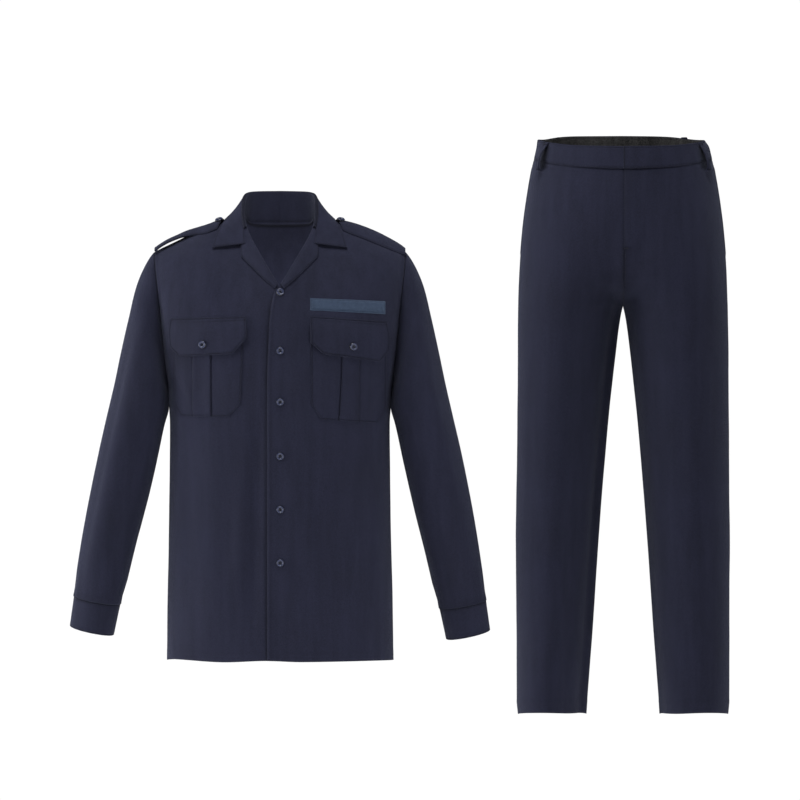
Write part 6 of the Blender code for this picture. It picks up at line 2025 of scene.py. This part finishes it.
def build_button(name, foot, axis, material, thread_material, spin=0.0, scale=1.1):
    """A four-hole button with a rolled rim and a dished face, sewn on with crossed thread."""
    axis = unit(np.asarray(axis, dtype=float))
    side = np.cross(axis, np.array([0.0, 0.0, 1.0]))
    if np.linalg.norm(side) < 0.3:
        side = np.cross(axis, np.array([1.0, 0.0, 0.0]))
    side = unit(side)
    other = np.cross(axis, side)
    a0 = math.radians(spin)
    side, other = side * math.cos(a0) + other * math.sin(a0), other * math.cos(a0) - side * math.sin(a0)
    sides = 48
    profile = [(3.3, 0.0), (5.2, 0.12), (6.25, 0.35), (6.55, 0.75), (6.35, 1.2), (5.95, 1.75), (5.6, 2.35), (5.2, 2.7),
               (4.6, 2.75), (4.0, 2.5), (3.5, 2.0), (3.05, 1.62)]
    # painted light: the outer wall dark as painted shade, the rim light as a painted highlight
    tones = [0.0, 0.0, 0.0, 0.0, 0.0, 0.0, 0.75, 1.0, 1.0, 1.0, 0.9, 0.7]
    verts, faces = [], []

    def put(u, v, h):
        verts.append(foot + side * u * scale + other * v * scale + axis * h)
        return len(verts) - 1
    for radius, height in profile:
        for k in range(sides):
            a = 2.0 * math.pi * k / sides
            put(radius * math.cos(a), radius * math.sin(a), height)
    for ring in range(len(profile) - 1):
        for k in range(sides):
            j = (k + 1) % sides
            lo, hi = ring * sides, (ring + 1) * sides
            faces.append((lo + k, lo + j, hi + j, hi + k))
    top = (len(profile) - 1) * sides
    # face with four holes: a grid of wedges, each quarter round its own hole
    hole_r, hole_at, per = 0.8, 1.25, 12
    rim = [top + k for k in range(sides)]
    low_rim = [k for k in range(sides)]
    centre_top = put(0.0, 0.0, 1.35)
    centre_low = put(0.0, 0.0, 0.0)
    quarter = sides // 4
    spokes_top, spokes_low = [], []
    for q in range(4):
        a = math.pi / 2.0 * q
        spokes_top.append(put(1.9 * math.cos(a), 1.9 * math.sin(a), 1.42))
        spokes_low.append(put(1.9 * math.cos(a), 1.9 * math.sin(a), 0.0))
    for q in range(4):
        mid = math.pi / 4.0 + math.pi / 2.0 * q
        hx, hy = hole_at * math.sqrt(2.0) * math.cos(mid), hole_at * math.sqrt(2.0) * math.sin(mid)
        rt, rl = [], []
        for k in range(per):
            a = 2.0 * math.pi * k / per + mid
            rt.append(put(hx + hole_r * math.cos(a), hy + hole_r * math.sin(a), 1.40))
            rl.append(put(hx + hole_r * math.cos(a), hy + hole_r * math.sin(a), 0.0))
        for k in range(per):
            j = (k + 1) % per
            faces.append((rt[j], rt[k], rl[k], rl[j]))
        nxt = (q + 1) % 4
        # outer boundary of the quarter, turning the same way round
        edge_t = [rim[(q * quarter + k) % sides] for k in range(quarter + 1)]
        edge_l = [low_rim[(q * quarter + k) % sides] for k in range(quarter + 1)]
        loop_t = edge_t + [spokes_top[nxt], centre_top, spokes_top[q]]
        loop_l = edge_l + [spokes_low[nxt], centre_low, spokes_low[q]]
        for loop, ring, turn in ((loop_t, rt, False), (loop_l, rl, True)):
            lp = [np.dot(verts[i] - foot, side) / scale - hx for i in loop]
            lq = [np.dot(verts[i] - foot, other) / scale - hy for i in loop]
            la = [(math.atan2(b, a) - mid) % (2.0 * math.pi) for a, b in zip(lp, lq)]
            order = sorted(range(len(loop)), key=lambda i: la[i])
            ol = [loop[i] for i in order]
            oa = [la[i] for i in order]
            ra = [2.0 * math.pi * k / per for k in range(per)]
            i, k = 0, 0
            m, n = len(ol), per
            # walk both rings round, always taking the nearer next point
            ia, ka = 0, 0
            while ia < m or ka < n:
                na = oa[(ia + 1) % m] + (2.0 * math.pi if ia + 1 >= m else 0.0)
                nk = ra[(ka + 1) % n] + (2.0 * math.pi if ka + 1 >= n else 0.0)
                if ka >= n or (ia < m and na <= nk):
                    tri = (ol[ia % m], ol[(ia + 1) % m], ring[ka % n])
                    ia += 1
                else:
                    tri = (ol[ia % m], ring[(ka + 1) % n], ring[ka % n])
                    ka += 1
                if len(set(tri)) == 3:
                    faces.append(tri[::-1] if turn else tri)
    item = add_piece(name, np.array(verts), faces, None, material)
    # the painted highlight and shade go to the resin's colour through this attribute
    tone = np.full(len(verts), 0.5)
    tone[:len(profile) * sides] = np.repeat(tones, sides)
    item.data.attributes.new("painted_light", "FLOAT", "POINT").data.foreach_set("value", tone)
    # crossed thread
    group = name + "_thread"
    for s1, s2 in (((1.0, 1.0), (-1.0, -1.0)), ((-1.0, 1.0), (1.0, -1.0))):
        for off in (-0.16, 0.16):
            a = np.array(s1) * hole_at * 1.02
            b = np.array(s2) * hole_at * 1.02
            perp = np.array([-(b - a)[1], (b - a)[0]])
            perp = perp / np.linalg.norm(perp) * off
            path, nl = [], []
            for s in np.linspace(0.0, 1.0, 7):
                p = a * (1.0 - s) + b * s + perp
                up = 1.30 + 0.55 * math.sin(math.pi * s) ** 0.6 + (0.12 if s1[0] < 0 else 0.0)
                path.append(foot + side * p[0] * scale + other * p[1] * scale + axis * up)
                nl.append(axis)
            run = float(np.linalg.norm(path[-1] - path[0]))
            stitch_row(group, np.array(path), np.array(nl), pitch=run * 0.99, length=run, radius=0.2, lift=0.0)
    thread = stitch_piece(group, group, thread_material)
    return item, thread


# ---------------------------------------------------------------- other finishes

def thread_material():
    mat, tree = new_material("navy_thread")
    net = Net(tree)
    out = net.node("ShaderNodeOutputMaterial")
    shader = net.node("ShaderNodeBsdfPrincipled")
    tree.links.new(shader.outputs[0], out.inputs[0])
    shader.inputs["Specular IOR Level"].default_value = 0.15
    shader.inputs["Sheen Weight"].default_value = 0.1
    shader.inputs["Sheen Roughness"].default_value = 0.4
    place = net.node("ShaderNodeTexCoord").outputs["Object"]
    tone = net.span(net.noise(place, 700.0, 2.0), 0.3, 0.7, 0.0, 1.0)
    tree.links.new(net.mix(tone, (0.011, 0.012, 0.024, 1.0), (0.019, 0.0205, 0.040, 1.0)), shader.inputs["Base Color"])
    part = net.node("ShaderNodeSeparateXYZ", {0: place})
    twist = net.math("SINE", net.math("MULTIPLY", net.math("ADD", net.math("ADD", part.outputs[0], part.outputs[1]),
                                                           part.outputs[2]), 9000.0))
    bump = net.node("ShaderNodeBump", {"Strength": 0.6, "Distance": 0.00008, "Height": twist})
    tree.links.new(bump.outputs[0], shader.inputs["Normal"])
    tree.links.new(net.span(tone, 0.0, 1.0, 0.5, 0.62), shader.inputs["Roughness"])
    return mat


def resin_material():
    mat, tree = new_material("button_resin")
    net = Net(tree)
    out = net.node("ShaderNodeOutputMaterial")
    shader = net.node("ShaderNodeBsdfPrincipled")
    tree.links.new(shader.outputs[0], out.inputs[0])
    shader.inputs["Coat Weight"].default_value = 0.22
    shader.inputs["Coat Roughness"].default_value = 0.12
    place = net.node("ShaderNodeTexCoord").outputs["Object"]
    swirl = net.noise(place, 260.0, 4.0, 0.6)
    # painted highlight on the rim and painted shade on the outer wall, from the button's attribute; the swirl varies it
    # at random
    painted_light = net.node("ShaderNodeAttribute", attribute_name="painted_light").outputs["Fac"]
    tone = net.math("MULTIPLY", painted_light, net.span(swirl, 0.3, 0.7, 0.75, 1.1), clamp=True)
    tree.links.new(net.mix(tone, (0.0035, 0.0045, 0.0105, 1.0), (0.056, 0.068, 0.142, 1.0)), shader.inputs["Base Color"])
    tree.links.new(net.span(net.noise(place, 1500.0, 2.0), 0.3, 0.7, 0.22, 0.34), shader.inputs["Roughness"])
    bump = net.node("ShaderNodeBump", {"Strength": 0.4, "Distance": 0.00005, "Height": net.noise(place, 900.0, 3.0)})
    tree.links.new(bump.outputs[0], shader.inputs["Normal"])
    return mat


def tape_material():
    mat, tree = new_material("tape_cloth")
    net = Net(tree)
    out = net.node("ShaderNodeOutputMaterial")
    shader = net.node("ShaderNodeBsdfPrincipled")
    tree.links.new(shader.outputs[0], out.inputs[0])
    shader.inputs["Sheen Weight"].default_value = 0.35
    shader.inputs["Sheen Roughness"].default_value = 0.5
    shader.inputs["Sheen Tint"].default_value = (0.6, 0.72, 0.95, 1.0)
    shader.inputs["Specular IOR Level"].default_value = 0.2
    place = net.node("ShaderNodeTexCoord").outputs["Object"]
    pile = net.node("ShaderNodeTexVoronoi", {"Vector": place, "Scale": 1400.0}).outputs[0]
    soft = net.noise(place, 160.0, 3.0, 0.6)
    tone = net.math("ADD", net.math("MULTIPLY", net.span(pile, 0.0, 0.7, 0.0, 1.0), 0.55),
                    net.math("MULTIPLY", net.span(soft, 0.3, 0.7, 0.0, 1.0), 0.45))
    tree.links.new(net.mix(tone, (0.030, 0.046, 0.082, 1.0), (0.066, 0.098, 0.165, 1.0)), shader.inputs["Base Color"])
    height = net.math("MULTIPLY_ADD", pile, 0.8, net.math("MULTIPLY", soft, 0.5))
    bump = net.node("ShaderNodeBump", {"Strength": 0.9, "Distance": 0.0003, "Height": height})
    tree.links.new(bump.outputs[0], shader.inputs["Normal"])
    tree.links.new(net.span(soft, 0.3, 0.7, 0.85, 0.95), shader.inputs["Roughness"])
    return mat


def floor_material():
    mat, tree = new_material("pale_floor")
    net = Net(tree)
    out = net.node("ShaderNodeOutputMaterial")
    shader = net.node("ShaderNodeBsdfPrincipled")
    tree.links.new(shader.outputs[0], out.inputs[0])
    place = net.node("ShaderNodeTexCoord").outputs["Object"]
    tree.links.new(net.mix(net.noise(place, 3.0), (0.86, 0.86, 0.86, 1.0), (0.9, 0.9, 0.9, 1.0)), shader.inputs["Base Color"])
    shader.inputs["Roughness"].default_value = 0.9
    return mat


# ---------------------------------------------------------------- light, floor and camera

def area_light(name, place, aim, size, power, spread):
    data = bpy.data.lights.new(name, "AREA")
    data.shape = "RECTANGLE"
    data.size, data.size_y = size
    data.energy = power
    data.spread = math.radians(spread)
    item = bpy.data.objects.new(name, data)
    item.visible_camera = False
    bpy.context.scene.collection.objects.link(item)
    d = np.array(aim, dtype=float) - np.array(place, dtype=float)
    item.location = place
    item.rotation_euler = Vector(d).to_track_quat("-Z", "Y").to_euler()
    return item


def build_studio():
    scene = bpy.context.scene
    scene.view_settings.view_transform = "Standard"
    world = bpy.data.worlds.new("studio")
    world.use_nodes = True
    tree = world.node_tree
    net = Net(tree)
    back = tree.nodes["Background"]
    # the sweep behind is white, the light that it gives is soft and low
    seen = net.node("ShaderNodeLightPath").outputs["Is Camera Ray"]
    back.inputs[0].default_value = (1.0, 1.0, 1.0, 1.0)
    tree.links.new(net.span(seen, 0.0, 1.0, AMBIENT, 1.02), back.inputs[1])
    scene.world = world
    lamps = []
    for name, lit, place, aim, size, power, spread in LIGHTS:
        lamps.append((area_light(name, place, aim, size, power, spread), lit))
    mesh = bpy.data.meshes.new("floor")
    mesh.from_pydata([(-5.0, -5.0, -1.15), (5.0, -5.0, -1.15), (5.0, 3.0, -1.15), (-5.0, 3.0, -1.15)], [], [(0, 1, 2, 3)])
    mesh.materials.append(floor_material())
    floor = bpy.data.objects.new("floor", mesh)
    scene.collection.objects.link(floor)
    # the two garments stand in light of their own, with flags between them
    for key in ("s", "t"):
        group = bpy.data.collections.new("lit_" + key)
        group.objects.link(floor)
        LIT[key] = group
    for lamp, lit in lamps:
        lamp.light_linking.receiver_collection = LIT[lit]
        lamp.light_linking.blocker_collection = LIT[lit]
    camera = bpy.data.cameras.new("camera")
    camera.sensor_width = 36.0
    camera.lens = 514.2857
    camera.clip_end = 60.0
    item = bpy.data.objects.new("camera", camera)
    scene.collection.objects.link(item)
    item.location = (0.210, -20.0, -0.30975)
    item.rotation_euler = (math.pi / 2.0, 0.0, 0.0)
    scene.camera = item


AMBIENT = 0.05
# name, lit garments, place, aim, size, power, spread
LIGHTS = (
    ("shirt_left", "s", (-2.8, -0.42, -0.25), (0.0, 0.0, -0.35), (1.2, 1.4), 42.0, 180.0),
    ("shirt_top", "s", (-0.35, -0.8, 2.05), (0.0, 0.0, -0.35), (1.2, 1.4), 41.0, 180.0),
    ("shirt_right_front", "s", (2.1, -2.0, -0.35), (0.0, 0.0, -0.45), (1.2, 1.4), 16.0, 180.0),
    ("shirt_right", "s", (2.8, -0.5, -0.40), (0.0, 0.0, -0.45), (1.2, 1.4), 9.0, 180.0),
    ("shirt_inside", "s", (0.0, -0.045, -0.20), (0.0, 0.10, -0.05), (0.16, 0.10), 0.20, 150.0),
    ("trouser_left", "t", (-2.2, -0.35, -0.10), (0.6, 0.0, -0.35), (1.2, 1.4), 32.0, 180.0),
    ("trouser_top", "t", (0.35, -0.9, 1.85), (0.6, 0.0, -0.25), (1.2, 1.2), 33.5, 180.0),
    ("trouser_right", "t", (3.4, -0.5, -0.35), (0.6, 0.0, -0.45), (1.2, 1.4), 8.0, 180.0),
)
LIT = {"s": [], "t": []}


def finish_piece(item, node):
    middle = np.mean([v[0] for v in item.bound_box])
    LIT["t" if middle > 0.40 else "s"].objects.link(item)
    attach(item, "root")
    if node:
        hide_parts(*([node] if isinstance(node, str) else node))


def main():
    build_studio()
    navy = cloth_material("navy_cloth", (0.0165, 0.0180, 0.0375), (0.0270, 0.0290, 0.0590))
    lining = cloth_material("lining_cloth", (0.008, 0.008, 0.0085), (0.098, 0.096, 0.097), roughness=0.9, sheen=0.15,
                            weave=0.0011, depth=0.0003, tint=(0.8, 0.8, 0.8, 1.0))
    tape = tape_material()
    resin = resin_material()
    thread = thread_material()

    sheets = {}
    creases = shirt_creases()
    edges = {}
    for side in ("left", "right"):
        item, _, edge = build_front(side, creases, navy)
        edges[side] = edge
        sheets[item.name] = (item, "shirt_front_" + side)
    item, back_edge = build_back(creases, navy)
    sheets[item.name] = (item, "shirt_back")
    for side in ("left", "right"):
        for item, node in ((build_sleeve(side, edges[side], back_edge, creases, navy), "sleeve_" + side),
                           (build_cuff(side, navy), "cuff_" + side),
                           (build_pocket(side, creases, navy), "pocket_" + side),
                           (build_flap(side, navy), "pocket_flap_" + side),
                           (build_lapel(side, navy), "lapel_" + side),
                           (build_strap(side, navy), "epaulette_" + side)):
            sheets[item.name] = (item, node)
    item = build_collar(navy)
    sheets[item.name] = (item, "collar")
    tape_item = build_tape(tape)
    folds = trouser_creases()
    for front in (True, False):
        for side in ("left", "right"):
            item = build_trouser_panel(front, side, folds, navy)
            sheets[item.name] = (item, "trouser_%s_%s" % ("front" if front else "back", side))
    band, inner = build_waistband(navy, lining)
    sheets[band.name] = (band, "waistband")
    for k, angle in enumerate(LOOP_ANGLES):
        item = build_belt_loop(k + 1, angle, navy)
        sheets[item.name] = (item, "belt_loop_%d" % (k + 1))
    # bar tack at the foot of the fly
    bar_tack(np.array([3.5, -body_fly_y(-48.0) - 2.6, -46.0]) + SHIFT, (1.0, 0.0, 0.12), (0.0, -1.0, 0.0), 8.0, 2.2)

    for item, node in sheets.values():
        finish_piece(item, node)
    finish_piece(tape_item, "name_tape")
    finish_piece(inner, "waistband_lining")
    for group, name in (("shirt", "shirt_stitches"), ("trousers", "trouser_stitches"), ("tape", "tape_stitches")):
        finish_piece(stitch_piece(name, group, thread), None)

    def sewn(name, foot, axis, spin):
        item, cross = build_button(name + "_resin", foot, axis, resin, thread, spin)
        finish_piece(item, name)
        finish_piece(cross, None)
    for k, z in enumerate(FRONT_BUTTON_Z):
        p, n = on_front(np.array([FRONT_BUTTON_X]), np.array([z]), np.array([0.55]), True)
        sewn("front_button_%d" % (k + 1), p[0], n[0], (4.0, -7.0, 2.0, 9.0, -3.0, 6.0)[k])
    for side, flip in (("left", 1.0), ("right", -1.0)):
        f = np.array([flip, 1.0, 1.0])
        bx, bz = FLAP_BUTTONS[side]
        p, n = on_front(np.array([bx]), np.array([bz]), np.array([8.1]), side == "left")
        sewn("flap_button_" + side, p[0] * f, n[0] * f, 5.0 * flip)
        table = STRAP_LEFT if side == "left" else STRAP_RIGHT
        here = strap_surface(table, np.array([STRAP_BUTTON_X - 3.0, STRAP_BUTTON_X + 3.0, STRAP_BUTTON_X, STRAP_BUTTON_X]),
                             np.array([-0.2, -0.2, -0.35, -0.05]))
        n = unit(np.cross(here[1] - here[0], here[3] - here[2]))
        n = n if n[2] > 0.0 else -n
        n = unit(n + np.array([0.0, -0.12, 0.0]))
        sewn("strap_button_" + side, ((here[0] + here[1]) / 2.0 + n * 0.5) * f, n * f, 11.0)
        angle = math.radians(236.0)
        here = sleeve_ring(CUFF[1], np.array([angle]))[0]
        ahead = sleeve_ring(CUFF[1], np.array([angle + 0.02]))[0]
        up = sleeve_ring(CUFF[0], np.array([angle]))[0]
        n = unit(np.cross(ahead - here, up - here))
        n = n if n[1] > 0.0 else -n
        sewn("cuff_button_" + side, arm_drop((here + n * 2.5) * f, side), n * f, -6.0)


def body_fly_y(z):
    x, y, _ = leg_ring(True, z, 0.05)
    return -float(y)


main()
